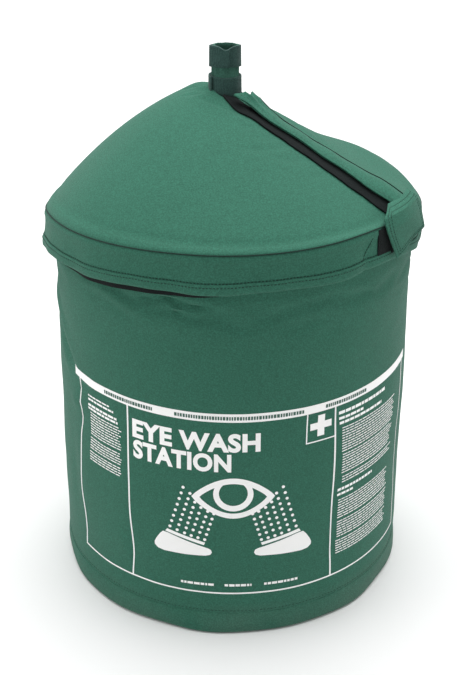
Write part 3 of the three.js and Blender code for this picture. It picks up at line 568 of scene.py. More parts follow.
def lidTop(x, y):
    radius, angle = np.hypot(x, y), np.arctan2(y, x)
    peak, shoulder, rim = lidShape["peakRadius"], lidShape["shoulderRadius"], lidShape["rimRadius"]
    t = np.clip((radius - peak) / (shoulder - peak), 0, 1)
    height = peakHeight(angle) + (shoulderHeight(angle) - peakHeight(angle)) * t
    height = height + lidSwell(angle) * 4 * t * (1 - t)
    for turn, distance, wide, threadGapShade, rise in lidFolds:
        away = (np.degrees(angle) - turn + 180) % 360 - 180
        height = height + rise * np.exp(-(away / wide) ** 2 - ((radius - distance) / threadGapShade) ** 2)
    edge = np.clip((radius - shoulder) / (rim - shoulder), 0, 1.2)
    along = math.cos(closureTurn) * x + math.sin(closureTurn) * y
    across = math.cos(closureTurn) * y - math.sin(closureTurn) * x
    bulge = np.exp(-((across - closureRidge["middle"]) / closureRidge["half"]) ** 2)
    ridge = np.interp(along, closureRidge["out"], closureRidge["rise"]) * bulge
    ridge = ridge * np.clip(along / 0.02, 0, 1) * np.clip(1 - edge, 0, 1)
    return height + ridge + (seamHeight(angle) - shoulderHeight(angle)) * edge ** 1.6


# The peak was pushed over to the left
def leaned(places):
    p = places.copy()
    p[:, 0] -= 0.0095 * np.exp(-(np.hypot(places[:, 0], places[:, 1]) / 0.075) ** 2)
    return p


def lidNormal(x, y):
    step = 0.0008
    slopeX = (lidTop(x + step, y) - lidTop(x - step, y)) / (2 * step)
    slopeY = (lidTop(x, y + step) - lidTop(x, y - step)) / (2 * step)
    normal = np.stack([-slopeX, -slopeY, np.ones_like(slopeX)], 1)
    return normal / np.linalg.norm(normal, axis=1)[:, None]


def jacketTop(angle):
    return np.minimum(0.5268, shoulderHeight(angle) - lidShape["thickness"] - 0.0012)


def sunk(places):
    angle = np.arctan2(places[:, 1], places[:, 0])
    share = np.clip((places[:, 2] - 0.37) / (0.525 - 0.37), 0, 1)
    share = share * share * (3 - 2 * share)
    result = places.copy()
    result[:, 2] -= (0.5268 - jacketTop(angle)) * share
    return result


# The lid's own directions: s runs out along the closure, w across it
def closurePlace(s, w):
    c, d = math.cos(closureTurn), math.sin(closureTurn)
    return c * s - d * w, d * s + c * w


# A spun ring whose two ends stand apart by the slit's width
def slitMapped(places, sweep, halfWidth=0.002):
    radius = np.hypot(places[:, 0], places[:, 1])
    share = (np.arctan2(places[:, 1], places[:, 0]) % (2 * math.pi)) / math.radians(sweep)
    share = np.where(share > 1.0005, 0, np.clip(share, 0, 1))
    half = np.arcsin(np.clip(halfWidth / radius, 0, 0.9))
    angle = closureTurn + half + share * (2 * math.pi - 2 * half)
    return radius, angle


def endsFilled(piece):
    editAll(piece)
    bpy.ops.mesh.fill_holes(sides=0)
    bpy.ops.mesh.select_all(action="SELECT")
    bpy.ops.mesh.normals_make_consistent(inside=False)
    leaveEdit()
    return piece


# Cloth simulation
def settled(piece, held, pressure, growth, cap, frames=20, stiffness=12):
    before = pointsOf(piece)
    group = piece.vertex_groups.new(name="held")
    group.add([int(i) for i in np.nonzero(held)[0]], 1.0, "REPLACE")
    modifier = piece.modifiers.new("Cloth", "CLOTH")
    cloth = modifier.settings
    cloth.quality = 5
    cloth.mass = 0.25
    cloth.tension_stiffness = cloth.compression_stiffness = stiffness
    cloth.bending_stiffness = 0.4
    cloth.use_pressure = True
    cloth.uniform_pressure_force = pressure
    cloth.shrink_min = -growth
    cloth.vertex_group_mass = "held"
    cloth.effector_weights.gravity = 0.0
    modifier.collision_settings.use_collision = False
    modifier.point_cache.frame_start, modifier.point_cache.frame_end = 1, frames
    scene = bpy.context.scene
    for step in range(1, frames + 1):
        scene.frame_set(step)
    activate(piece)
    bpy.ops.object.modifier_apply(modifier=modifier.name)
    scene.frame_set(1)
    shift = pointsOf(piece) - before
    length = np.linalg.norm(shift, axis=1)
    shift *= (cap * np.tanh(length / cap) / np.maximum(length, 1e-9))[:, None]
    shift[~np.isfinite(shift).all(axis=1)] = 0
    setPoints(piece, before + shift)
    piece.vertex_groups.clear()
    print("settled", piece.name, "most", round(float(length.max()) * 1000, 1), "mm")
    return piece


# Jacket wall
wallShape = {"thickness": 0.0025, "foot": 0.0300, "top": 0.5250, "around": 208, "rows": 88, "cap": 0.0022}
# creases in the wall: from (degrees round from the front, height) to the same, half width, depth
wallFolds = (
    ((-30, 0.4625), (-5, 0.4755), 0.0032, -0.0042),
    ((-32, 0.4700), (-4, 0.4830), 0.0045, 0.0030),
    ((-27, 0.4500), (-9, 0.4585), 0.0030, -0.0034),
    ((-25, 0.4555), (-9, 0.4640), 0.0034, 0.0026),
    ((-70, 0.4700), (-38, 0.4760), 0.0100, -0.0034),
    ((-36, 0.4300), (-4, 0.4400), 0.0140, 0.0018),
    ((-54, 0.4600), (-28, 0.4540), 0.0070, 0.0022),
    ((-84, 0.3850), (-58, 0.3180), 0.0090, -0.0050),
    ((-86, 0.4050), (-60, 0.3400), 0.0120, 0.0040),
    ((-82, 0.3560), (-62, 0.2960), 0.0080, 0.0022),
    ((-60, 0.3050), (-62, 0.2600), 0.0100, 0.0035),
    ((-56, 0.2850), (-57, 0.0800), 0.0160, 0.0024),
    ((-66, 0.2500), (-63, 0.0900), 0.0160, -0.0030),
    ((-36, 0.1400), (-31, 0.0700), 0.0100, -0.0022),
    ((-40, 0.1600), (-36, 0.0800), 0.0120, 0.0016),
    ((35, 0.1500), (33, 0.0700), 0.0090, -0.0020),
    ((72, 0.3000), (76, 0.0700), 0.0150, -0.0020),
    ((88, 0.4300), (110, 0.3000), 0.0180, 0.0030),
    ((130, 0.4500), (165, 0.4000), 0.0120, -0.0030),
    ((150, 0.3600), (182, 0.2800), 0.0200, 0.0030),
    ((196, 0.4200), (230, 0.4450), 0.0110, -0.0026),
    ((-110, 0.3000), (-128, 0.1500), 0.0160, 0.0026),
    ((120, 0.2000), (140, 0.1100), 0.0130, -0.0024),
    ((-8, 0.0420), (10, 0.0400), 0.0050, -0.0008),
)


def wallRelief(azimuth, height):
    relief = np.zeros_like(azimuth)
    for (a0, z0), (a1, z1), width, depth in wallFolds:
        du, dz = math.radians(a1 - a0) * jacketRadius, z1 - z0
        u = ((azimuth - a0 + 180) % 360 - 180) * math.pi / 180 * jacketRadius
        along = np.clip((u * du + (height - z0) * dz) / (du * du + dz * dz), 0, 1)
        off = np.hypot(u - along * du, height - z0 - along * dz - 0.006 * np.sin(along * 5.0) * np.sign(du))
        taper = np.sin(math.pi * np.clip(along, 0.04, 0.96)) ** 0.6
        relief += depth * taper * np.exp(-(off / width) ** 2)
    fade = np.clip((height - 0.045) / 0.05, 0, 1) * np.clip((0.515 - height) / 0.03, 0, 1)
    return relief * fade


def wavy(places, scale, amount, seed):
    return amount * np.array([noise(Vector((p[0] * scale + seed, p[1] * scale, p[2] * scale)))
                              for p in places])


def makeWall():
    size = wallShape
    heights = np.linspace(size["foot"], size["top"], size["rows"])
    wall = spun("jacketWall", [(jacketRadius, z) for z in heights], size["around"], close=False)

    def shaped(p):
        azimuth = np.degrees(np.arctan2(p[:, 0], -p[:, 1]))
        inside = np.clip((p[:, 2] - 0.03) / 0.03, 0, 1) * np.clip((0.505 - p[:, 2]) / 0.04, 0, 1)
        push = wallRelief(azimuth, p[:, 2]) + inside * (wavy(p, 9, 0.0016, 3.1) + wavy(p, 24, 0.0006, 8.2))
        return sunk(widened(p, 1 + push / jacketRadius))

    moved(wall, shaped)
    centreOut = wall.data.polygons[0].normal.dot(Vector((*wall.data.polygons[0].center[:2], 0)))
    if centreOut < 0:
        editAll(wall)
        bpy.ops.mesh.flip_normals()
        leaveEdit()
    height = pointsOf(wall)[:, 2]
    settled(wall, (height < 0.036) | (height > 0.478), 1.2, 0.004, size["cap"], 16)
    addModifier(wall, "SOLIDIFY", thickness=size["thickness"], offset=-1, use_even_offset=True)
    smoothed(wall, 60)
    ringMap(wall)
    finished(wall, "station", greenCloth, "green_fabric", "jacket_shell")
    return wall


bootShape = {"proud": 0.0006, "inset": 0.0026, "floor": 0.0032, "foot": 0.0002, "around": 160}


def makeBoot():
    outer, foot = jacketRadius + bootShape["proud"], bootShape["foot"]
    inner, floor = outer - bootShape["inset"], bootShape["floor"]
    profile = [(0, foot), (0.10, foot), (0.17, foot), (0.205, foot), (outer - 0.0040, foot),
               (outer - 0.0012, 0.0008),
               (outer + 0.0004, 0.0024), (outer + 0.0012, 0.006), (outer + 0.0014, 0.013),
               (outer + 0.0012, 0.020), (outer + 0.0008, 0.026),
               (outer + 0.0004, 0.0295), (outer + 0.0001, 0.0312), (outer - 0.0008, 0.0316),
               (outer - 0.0024, 0.0302),
               (inner, 0.026), (inner, 0.012), (outer - 0.0030, 0.005), (outer - 0.012, floor),
               (0.18, floor), (0, floor)]
    boot = spun("jacketBoot", profile, bootShape["around"], close=False)

    def shaped(p):
        azimuth = np.arctan2(p[:, 0], -p[:, 1])
        radius = np.hypot(p[:, 0], p[:, 1])
        edge = np.clip((radius - 0.19) / 0.03, 0, 1)
        low = np.clip((0.028 - p[:, 2]) / 0.026, 0, 1)
        wave = 0.0012 * np.cos(8 * azimuth + 0.6) + 0.0008 * np.cos(13 * azimuth + 2.0)
        return widened(p, 1 + wave * edge * low / jacketRadius)

    moved(boot, shaped)
    outward(boot)
    smoothed(boot, 50)
    ringMap(boot)
    finished(boot, "station", greenCloth, "green_fabric", "jacket_boot")
    return boot


# Foam, liner, base pad and the bound edge of the mouth
foamShape = {"foot": 0.0142, "top": 0.5248, "outside": 0.2182, "inside": 0.2064}
linerShape = {"outside": 0.2056, "inside": 0.2034, "rows": 60, "around": 192}


def makeJacketInside():
    foot, top = foamShape["foot"], foamShape["top"]
    rows = list(np.linspace(foot, top, 24))
    foamProfile = [(foamShape["outside"], z) for z in rows] + [(foamShape["inside"], z) for z in rows[::-1]]
    foam = spun("jacketFoam", foamProfile, 96)
    moved(foam, sunk)
    moved(foam, lambda p: widened(p, 1 + wavy(p, 14, 0.0012, 1.0)))
    bevelled(foam, 0.002, 2)
    ringMap(foam)
    finished(foam, "station", greyFoam, "grey_foam", "jacket_insulation")

    quilt = {"around": 24, "up": 10, "puff": 0.0016}
    rows = list(np.linspace(foot, top, linerShape["rows"]))
    linerProfile = [(linerShape["inside"], z) for z in rows]
    linerProfile += [(linerShape["outside"], z) for z in (rows[-1], rows[linerShape["rows"] // 2], rows[0])]
    liner = spun("quiltedLiner", linerProfile, linerShape["around"])

    def quilted(p):
        angle = np.arctan2(p[:, 1], p[:, 0])
        inner = np.hypot(p[:, 0], p[:, 1]) < 0.2045
        cells = np.abs(np.sin(angle * quilt["around"] / 2)
                       * np.sin((p[:, 2] - foot) / (top - foot) * math.pi * quilt["up"]))
        return sunk(widened(p, np.where(inner, 1 - quilt["puff"] * cells ** 0.5 / linerShape["inside"], 1)))

    moved(liner, quilted)
    smoothed(liner, 50)
    ringMap(liner, linerShape["inside"])
    finished(liner, "station", linerFoil, "silver_liner", "jacket_liner")

    pad = spun("baseCushion", [(0, 0.0034), (0.20, 0.0034), (0.2175, 0.0038), (0.2202, 0.0060),
                               (0.2206, 0.0086), (0.2196, 0.0116),
                               (0.2165, 0.0134), (0.20, 0.0138), (0.17, 0.0137), (0.12, 0.0138),
                               (0, 0.0138)], 96, close=False)
    outward(pad)
    smoothed(pad, 60)
    flatMap(pad)
    finished(pad, "station", greyFoam, "grey_foam", "base_pad")

    # bound edge: a folded tape over foam, liner and shell
    outerR, innerR = 0.2270, 0.2012
    profile = [(innerR, 0.5150), (innerR - 0.0003, 0.5200), (innerR, 0.5250), (innerR + 0.0015, 0.5268),
               (0.208, 0.5276), (0.214, 0.5279),
               (0.220, 0.5276), (outerR - 0.0015, 0.5268), (outerR, 0.5250), (outerR + 0.0003, 0.5200),
               (outerR, 0.5150),
               (outerR - 0.0016, 0.5148), (outerR - 0.0016, 0.5254), (innerR + 0.0016, 0.5254),
               (innerR + 0.0016, 0.5148)]
    binding = spun("mouthBinding", profile, 160)
    moved(binding, sunk)
    moved(binding, lambda p: p + np.stack([np.zeros(len(p))] * 2 + [wavy(p, 30, 0.0006, 5.0)], 1))
    outward(binding)
    smoothed(binding, 50)
    ringMap(binding)
    finished(binding, "station", strapWebbing, "dark_webbing", "jacket_top_binding")


# Stitches
def stitchTemplate(length=0.0038, thick=0.0008):
    deselectAll()
    bpy.ops.mesh.primitive_cylinder_add(vertices=6, radius=thick / 2, depth=length * 0.7, location=(0, 0, 0),
                                        end_fill_type="NGON")
    stitch = bpy.context.object
    bpy.ops.object.mode_set(mode="EDIT")
    bpy.ops.mesh.select_all(action="SELECT")
    bpy.ops.mesh.subdivide(number_cuts=1)
    leaveEdit()

    def arched(p):
        along = p[:, 2] / (length * 0.35)
        p = p.copy()
        p[:, :2] *= (1 - 0.35 * np.abs(along) ** 3)[:, None]
        return np.stack([p[:, 2], p[:, 0], p[:, 1] - thick * 0.35 * along ** 2], 1)

    return moved(stitch, arched)


def stitchRow(name, route, outs, pitch=0.0042, **size):
    route, outs = np.array(route), np.array(outs)
    lengths = np.concatenate([[0], np.cumsum(np.linalg.norm(np.diff(route, axis=0), axis=1))])
    count = max(2, int(lengths[-1] / pitch))
    spots = (np.arange(count) + 0.5) * lengths[-1] / count
    at = np.stack([np.interp(spots, lengths, route[:, k]) for k in range(3)], 1)
    ahead = np.stack([np.interp(spots + 0.0006, lengths, route[:, k]) for k in range(3)], 1)
    out = np.stack([np.interp(spots, lengths, outs[:, k]) for k in range(3)], 1)
    places = [frameAt(Vector(a), Vector(b - a), Vector(o)) for a, b,
              o in zip(at, ahead, out) if np.linalg.norm(b - a) > 1e-6]
    return copiesAt(name, stitchTemplate(**size), places)


# A row of stitches, mapped and given its body and thread
def sewnRow(name, route, outs, pitch, body, thread, slot="green_fabric", radius=jacketRadius, **size):
    row = stitchRow(name, route, outs, pitch, **size)
    ringMap(row, radius)
    return finished(row, body, thread, slot)


def ringRoute(radiusOf, heightOf, start=0.0, end=2 * math.pi, steps=361):
    angles = np.linspace(start, end, steps)
    radius, height = radiusOf(angles), heightOf(angles)
    route = np.stack([radius * np.cos(angles), radius * np.sin(angles), height], 1)
    outs = np.stack([np.cos(angles), np.sin(angles), np.zeros_like(angles)], 1)
    return route, outs


# Lid
skirtShape = {"drop": 0.0475, "inside": 0.2312, "outside": 0.2352, "hemDepth": 0.0125, "hemWall": 0.0015}
slitSweep = 359.9


# The skirt is hitched up a little beyond the closure
def skirtSway(angle, down):
    hitch = 0.0048 * np.exp(-(((np.degrees(angle) - 5 + 180) % 360 - 180) / 15) ** 2)
    return down * (0.0012 * np.sin(9 * angle + 1.2) + hitch)


def skirtWave(angle, down):
    ripple = 0.0009 * np.sin(11 * angle + 0.7) + 0.0006 * np.sin(19 * angle
            + 2.1) + 0.0005 * np.sin(31 * angle)
    dart = 0.0022 * np.exp(-(((np.degrees(angle) + 49 + 180) % 360 - 180) / 1.1) ** 2)
    return down * (skirtFlare(angle) + ripple) - dart * down


def onSkirt(p, sweep=slitSweep):
    radius, angle = slitMapped(p, sweep)
    down = np.clip(-p[:, 2] / skirtShape["drop"], 0, 1.1)
    radius = radius + skirtWave(angle, down)
    return np.stack([radius * np.cos(angle), radius * np.sin(angle),
                     seamHeight(angle) + p[:, 2] + skirtSway(angle, down)], 1)


def makeLid():
    thick = lidShape["thickness"]
    outerRadii = np.concatenate([np.linspace(0.0166, 0.040, 8), np.linspace(0.0445, 0.222, 41),
                                 (0.2262, 0.2298, 0.2325)])
    land = -1.0
    profile = [(r, 0.0) for r in outerRadii] + [(0.2341, -0.0008), (0.2345, -0.0022), (0.2340, -0.0036),
                                                (0.2325, -0.0042), (0.2308, -0.0046)]
    profile += [(r, land) for r in (0.2306, 0.222, 0.212, 0.2025)]
    profile += [(r, -thick) for r in np.linspace(0.199, 0.0168, 24)]
    cone = spun("paddedLid", profile, 190, slitSweep)

    def shaped(p):
        radius, angle = slitMapped(p, slitSweep)
        x, y = radius * np.cos(angle), radius * np.sin(angle)
        height = np.where(p[:, 2] < -0.5, jacketTop(angle) + 0.0016, lidTop(x, y) + p[:, 2])
        return leaned(np.stack([x, y, height], 1))

    flatZ = pointsOf(cone)[:, 2]
    moved(cone, shaped)
    endsFilled(cone)
    p = pointsOf(cone)
    radius = np.hypot(p[:, 0], p[:, 1])
    across = -math.sin(closureTurn) * p[:, 0] + math.cos(closureTurn) * p[:, 1]
    along = math.cos(closureTurn) * p[:, 0] + math.sin(closureTurn) * p[:, 1]
    held = (radius > 0.221) | (radius < 0.034) | ((np.abs(across) < 0.034) & (along > 0)) | (flatZ < -0.5)
    settled(cone, held, 3.5, 0.004, 0.0022, 20)
    smoothed(cone, 50)
    flatMap(cone)
    finished(cone, "lid", greenCloth, "green_fabric", "lid_cone", "lid_peak")

    size = skirtShape
    a, b, drop = size["inside"], size["outside"], size["drop"]
    outerLine = [(b - 0.0012, -0.0016), (b - 0.0002, -0.0030), (b + 0.0008, -0.0062), (b + 0.0009, -0.0085),
                 (b, -0.0115), (b - 0.0004, -0.016),
                 (b - 0.0006, -0.022), (b - 0.0004, -0.028), (b, -0.0335), (b + 0.0002, -0.038), (b, -0.043),
                 (b, -drop)]
    innerLine = [(a, -drop), (a, -0.030), (a, -0.012), (a + 0.0004, -0.0052), (a + 0.0012, -0.0050)]
    skirt = spun("lidSkirt", outerLine + innerLine, 240, slitSweep)
    moved(skirt, onSkirt)
    endsFilled(skirt)
    smoothed(skirt, 50)
    ringMap(skirt)
    finished(skirt, "lid", greenCloth, "green_fabric", "lid_skirt")

    w, threadGapShade = size["hemWall"], size["hemDepth"]
    foot = -drop - 0.0005
    hemProfile = [(b + 0.0003, foot + threadGapShade), (b + w, foot + threadGapShade - 0.0005),
                  (b + w + 0.0003, foot + threadGapShade - 0.003), (b + w + 0.0003, foot + 0.003),
                  (b + w - 0.0002, foot - 0.0005), (b, foot - w), ((a + b) / 2, foot - w - 0.0003),
                  (a, foot - w),
                  (a - w + 0.0003, foot - 0.0004), (a - w, foot + 0.004), (a - w + 0.0003, foot + threadGapShade),
                  (a - 0.0002, foot + threadGapShade), (a - 0.0002, foot), (b + 0.0002, foot)]
    hem = spun("lidHem", hemProfile, 240, slitSweep)
    moved(hem, onSkirt)
    endsFilled(hem)
    smoothed(hem, 50)
    ringMap(hem)
    finished(hem, "lid", greenCloth, "green_fabric", "lid_hem")

    # painted shade: a dark cord laid in the seam between cone and skirt stands in for the shadow in the seam's groove
    shadowCordLine = [(0.2347 + 0.0008 * math.cos(t), -0.0013 + 0.0008 * math.sin(t))
                for t in np.linspace(0, 2 * math.pi, 9)[:-1]]
    shadowCord = spun("seamShadowCord", shadowCordLine, 240, slitSweep)
    moved(shadowCord, onSkirt)
    endsFilled(shadowCord)
    smoothed(shadowCord, 60)
    ringMap(shadowCord)
    finished(shadowCord, "lid", darkThread, "green_fabric")

    # painted shadow: a black strip hangs below the hem at the front left, standing in for the shade in the gap between
    # hem and wall
    hemShadowShape = {"start": math.radians(-150), "sweep": math.radians(59), "least": 0.0030, "sag": 0.0068}

    def hemShadowPlace(t, v):
        angle = hemShadowShape["start"] + hemShadowShape["sweep"] * t
        threadGapShade = hemShadowShape["least"] + hemShadowShape["sag"] * np.sin(math.pi * np.clip(t, 0.02, 0.98)) ** 0.8
        z = seamHeight(angle) + foot + skirtSway(angle, 1.0) + 0.0025 - threadGapShade * v
        radius = b - 0.0008 + skirtWave(angle, 1.0)
        return np.stack([radius * np.cos(angle), radius * np.sin(angle), z], 1)

    hemShadowStrip = clothStrip("paintedHemShadow", 120, 4, hemShadowPlace, 0.0010, 0.0003)
    outward(hemShadowStrip)
    ringMap(hemShadowStrip)
    finished(hemShadowStrip, "lid", hookTape, "black_tape")

    ends = (closureTurn + 0.014, closureTurn + 2 * math.pi - 0.014)
    rows = {"hemStitchLow": (b + 0.0020, -0.0392), "hemStitchHigh": (b + 0.0005, -0.0345)}
    for name, (radius, down) in rows.items():
        route, outs = ringRoute(
            lambda t: radius + skirtWave(t, -down / drop),
            lambda t: seamHeight(t) + down + skirtSway(t, -down / drop), *ends, 721)
        sewnRow(name, route, outs, 0.0041, "lid", darkThread, thick=0.0010)
    return cone


# Closure over the slit: tapes, flap and tab
def onLid(s, w, lift):
    x, y = closurePlace(s, w)
    base = np.stack([x, y, lidTop(x, y)], 1)
    return leaned(base + lidNormal(x, y) * np.broadcast_to(np.asarray(lift), s.shape)[:, None])


def skirtPlace(w, z, lift):
    angle = closureTurn + w / 0.2355
    down = np.clip((seamHeight(angle) - z) / skirtShape["drop"], 0, 1.1)
    radius = skirtShape["outside"] + 0.0002 + lift + skirtWave(angle, down)
    return np.stack([radius * np.cos(angle), radius * np.sin(angle), z], 1)


flapShape = {"start": 0.020, "end": 0.2240, "front": -0.016, "back": 0.0125, "lift": 0.0040,
             "thickness": 0.0030}


def flapPlace(t, v):
    size = flapShape
    s = size["start"] + (size["end"] - size["start"]) * t
    near = np.clip((0.078 - s) / 0.05, 0, 1) ** 1.5
    front = size["front"] + 0.0012 * np.sin(t * 21) - 0.005 * near
    w = front + (size["back"] - front) * v
    crown = np.sin(math.pi * np.clip(v, 0, 1)) ** 0.7
    lift = size["lift"] + size["thickness"] - 0.0012 * v + crown * (0.0030 + 0.0005 * np.sin(t * 34 + 4 * v))
    lift = lift + near * (0.006 * near + 0.0014 * np.sin(v * 19 + s * 40) * np.clip(8 * v * (1 - v), 0, 1))
    return onLid(s - near * 0.005 * np.cos(v * 5), w, lift)


def makeClosure():
    def tape(t, v, start, end, w0, w1, lift, shake=0.0006):
        s = start + (end - start) * t
        w0 = w0 + (0.016 * np.clip((0.03 - s) / 0.03, 0, 1) ** 1.5 if w1 < 0 else 0)
        return onLid(s, w0 + (w1 - w0) * v + shake * np.sin(t * 40) * (v < 0.05),
                     lift + 0.0003 * np.sin(t * 90 + v * 20))

    loop = clothStrip("slitLoopTape", 64, 10, lambda t,
                      v: tape(t, v, 0.003, 0.2275, -0.030, -0.006, 0.0026, 0.0004), 0.0018, 0.0004)
    moved(loop, lambda p: p + np.stack([np.zeros(len(p))] * 2 + [wavy(p, 420, 0.0005, 2.0)], 1))
    flatMap(loop, turn=closureTurn)
    finished(loop, "lid", hookTape, "black_tape", "slit_loop_tape")
    hook = clothStrip("flapHookTape", 50, 5, lambda t,
                      v: tape(t, v, 0.034, 0.222, -0.0125, -0.006, 0.0043, 0), 0.0016, 0.0004)
    flatMap(hook, turn=closureTurn)
    finished(hook, "flap", hookTape, "black_tape", "flap_hook_tape")
    welt = clothStrip("flapWelt", 60, 4, lambda t, v: tape(t, v, 0.030, 0.2270, 0.0050, 0.0095, 0.0034, 0),
                      0.0030, 0.0006)
    flatMap(welt, turn=closureTurn)
    finished(welt, "lid", greenEdging, "green_fabric", "flap_welt")

    flap = clothStrip("closureFlap", 90, 14, flapPlace, flapShape["thickness"], 0.0009)
    flatMap(flap, turn=closureTurn)
    finished(flap, "flap", greenCloth, "green_fabric", "closure_flap")
    length, width = flapShape["end"] - flapShape["start"], flapShape["back"] - flapShape["front"]
    for name, v, material in (("flapSeamStitch", 0.93, darkThread), ("flapEdgeStitch", 0.13, seamThread)):
        t = np.linspace(0.03, 0.985, 160)
        route = flapPlace(t, np.full_like(t, v))
        x, y = closurePlace(flapShape["start"] + length * t, np.full_like(t, flapShape["front"] + width * v))
        outs = lidNormal(x, y)
        row = stitchRow(name, route + outs * 0.0001, outs, 0.0040)
        flatMap(row)
        finished(row, "flap", material, "green_fabric")

    # dark cords where the flap is sewn down and where the panel behind it ends
    def alongPanel(t, turn):
        s = 0.2180 - 0.0120 * t + 0.004 * np.sin(t * math.pi)
        return onLid(s, 0.0165 + 0.0435 * t + 0.0014 * np.cos(turn), 0.0040 + 0.0014 * np.sin(turn))

    def alongFlap(t, turn):
        t = 0.05 + 0.945 * t
        v = 0.955 + 0.0010 / 0.0285 * np.cos(turn)
        x, y = closurePlace(flapShape["start"] + length * t, np.full_like(t, 0.011))
        return flapPlace(t, v) + lidNormal(x, y) * (0.0004 + 0.0010 * np.sin(turn))[:, None]

    def piping(name, place, body):
        tube = sheetGrid(name, 110, 8)

        def piped(p):
            return place(p[:, 0] + 0.5, (p[:, 1] + 0.5) * 2 * math.pi)

        moved(tube, piped)
        editAll(tube)
        bpy.ops.mesh.remove_doubles(threshold=0.00002)
        leaveEdit()
        endsFilled(tube)
        smoothed(tube, 60)
        flatMap(tube)
        finished(tube, body, darkThread, "green_fabric")

    piping("flapSeamPiping", alongFlap, "flap")
    piping("panelEndPiping", alongPanel, "lid")

    # skirt: loop tape, welt and the hanging tab
    def skirtTape(t, v, w0, w1, lift, top=0.5405, foot=0.4985):
        w = w0 + (w1 - w0) * t
        return skirtPlace(w, foot + (top - foot) * v, lift)

    strip = clothStrip("skirtLoopTape", 20, 14, lambda t, v: skirtTape(t, v, -0.0680, -0.030, 0.0012),
                       0.0017, 0.0004)
    moved(strip, lambda p: p + np.stack([np.zeros(len(p))] * 2 + [wavy(p, 420, 0.0004, 2.0)], 1))
    ringMap(strip)
    finished(strip, "lid", hookTape, "black_tape", "skirt_loop_tape")
    strip = clothStrip("tabHookTape", 10, 12, lambda t,
                       v: skirtTape(t, v, -0.044, -0.030, 0.0030, 0.5340, 0.5050), 0.0016, 0.0004)
    ringMap(strip)
    finished(strip, "tab", hookTape, "black_tape", "tab_hook_tape")
    strip = clothStrip("tabWelt", 4, 14, lambda t, v: skirtTape(t, v, 0.0250, 0.0300, 0.0034, 0.5270,
                                                                0.5060), 0.0030, 0.0006)
    ringMap(strip)
    finished(strip, "lid", greenEdging, "green_fabric", "tab_welt")

    # the tab: columns from its free edge to its sewn edge, rows from the foot up over the rim (degrees, radius, height)
    tabShape = {
        "thickness": 0.0026, "rows": (0, 0.33, 0.66, 0.84, 1),
        "free": ((-38.2, 0.2460, 0.4985), (-40.3, 0.2448, 0.5160), (-42.3, 0.2435, 0.5365),
                 (-42.3, 0.2365, 0.5530), (-34.5, 0.2200, 0.5575)),
        "middle": ((-30.5, 0.2475, 0.5100), (-31.4, 0.2465, 0.5235), (-32.2, 0.2440, 0.5400),
                   (-31.0, 0.2385, 0.5530), (-26.5, 0.2235, 0.5580)),
        "sewn": ((-22.0, 0.2480, 0.5140), (-21.0, 0.2450, 0.5260), (-20.0, 0.2415, 0.5380),
                 (-20.0, 0.2350, 0.5500), (-20.0, 0.2215, 0.5570)),
    }

    def tabPlace(t, v):
        columns = [np.stack([np.interp(v, tabShape["rows"], column)
                             for column in np.array(tabShape[side]).T], 1)
                             for side in ("free", "middle", "sewn")]
        share = np.stack([2 * (t - 0.5) * (t - 1), 4 * t * (1 - t), 2 * t * (t - 0.5)], 1)
        place = sum(column * share[:, k:k + 1] for k, column in enumerate(columns))
        angle = np.radians(place[:, 0])
        radius = place[:, 1] + 0.0012 * np.sin(t * 8 + v * 5) * (1 - v)
        return np.stack([radius * np.cos(angle), radius * np.sin(angle), place[:, 2]], 1)

    tab = clothStrip("skirtTab", 26, 24, tabPlace, tabShape["thickness"], 0.0009)
    ringMap(tab)
    finished(tab, "tab", greenCloth, "green_fabric", "skirt_tab")
    edges = {"tabStitchOuter": 0.06, "tabStitchInner": 0.12}
    for name, inset in edges.items():
        line = [(t, 1 - inset) for t in np.linspace(1 - inset, inset, 20)]
        line += [(inset, v) for v in np.linspace(1 - inset, inset, 20)]
        line += [(t, inset) for t in np.linspace(inset, 1 - inset, 20)]
        line += [(1 - inset, v) for v in np.linspace(inset, 0.9, 20)]
        t, v = np.array(line).T
        route = tabPlace(t, v)
        x, y = route[:, 0], route[:, 1]
        outs = np.stack([x, y, 0 * x], 1) / np.hypot(x, y)[:, None]
        sewnRow(name, route + outs * 0.0002, outs, 0.0036, "tab", darkThread)

    # dart in the skirt beside the closure, pulled in and knotted at the hem
    t = np.linspace(0, 1, 14)
    dartAngle = closureTurn + (-0.0740 - 0.0250 * t) / 0.2355
    z = 0.5375 - 0.040 * t
    base = skirtPlace((dartAngle - closureTurn) * 0.2355, z, -0.0002)
    outs = np.stack([np.cos(dartAngle), np.sin(dartAngle), 0 * t], 1)
    sewnRow("dartThread", base, outs, 0.0034, "lid", darkThread, length=0.0046, thick=0.0011)


# Neck and its straps
neckShape = {"inside": 0.0138, "outside": 0.0172, "foot": 0.634, "top": 0.7085, "shift": -0.0100}


# the sleeve is drawn flat towards its open end
def neckPlaced(radius, angle, z):
    up = np.clip((z - 0.650) / 0.058, 0, 1)
    flat = 0.66 - 0.20 * up
    x = radius * np.cos(angle) * (0.98 - 0.04 * up) + neckShape["shift"] - 0.0004 * up
    y = radius * np.sin(angle) * flat
    droop = 0.0050 * np.exp(-(np.abs(x - neckShape["shift"]) / 0.007) ** 2) * np.clip((z - 0.700) / 0.008, 0,
            1) * (y < 0)
    return np.stack([x, y, z - droop], 1)


def neckFolds(p):
    angle = np.arctan2(p[:, 1], p[:, 0])
    radius = np.hypot(p[:, 0], p[:, 1])
    z = p[:, 2]
    pinch = np.exp(-((z - 0.661) / 0.012) ** 2) + np.exp(-((z - 0.697) / 0.010) ** 2)
    loose = np.clip(1 - pinch, 0, 1)
    fold = (0.0006 * np.cos(9 * angle + z * 60) + 0.0005 * np.cos(5 * angle - z * 90 + 1)) * (0.4 + loose)
    radius = radius + fold - 0.0004 * np.exp(-((z - 0.679) / 0.006) ** 2)
    return neckPlaced(radius, angle, z)


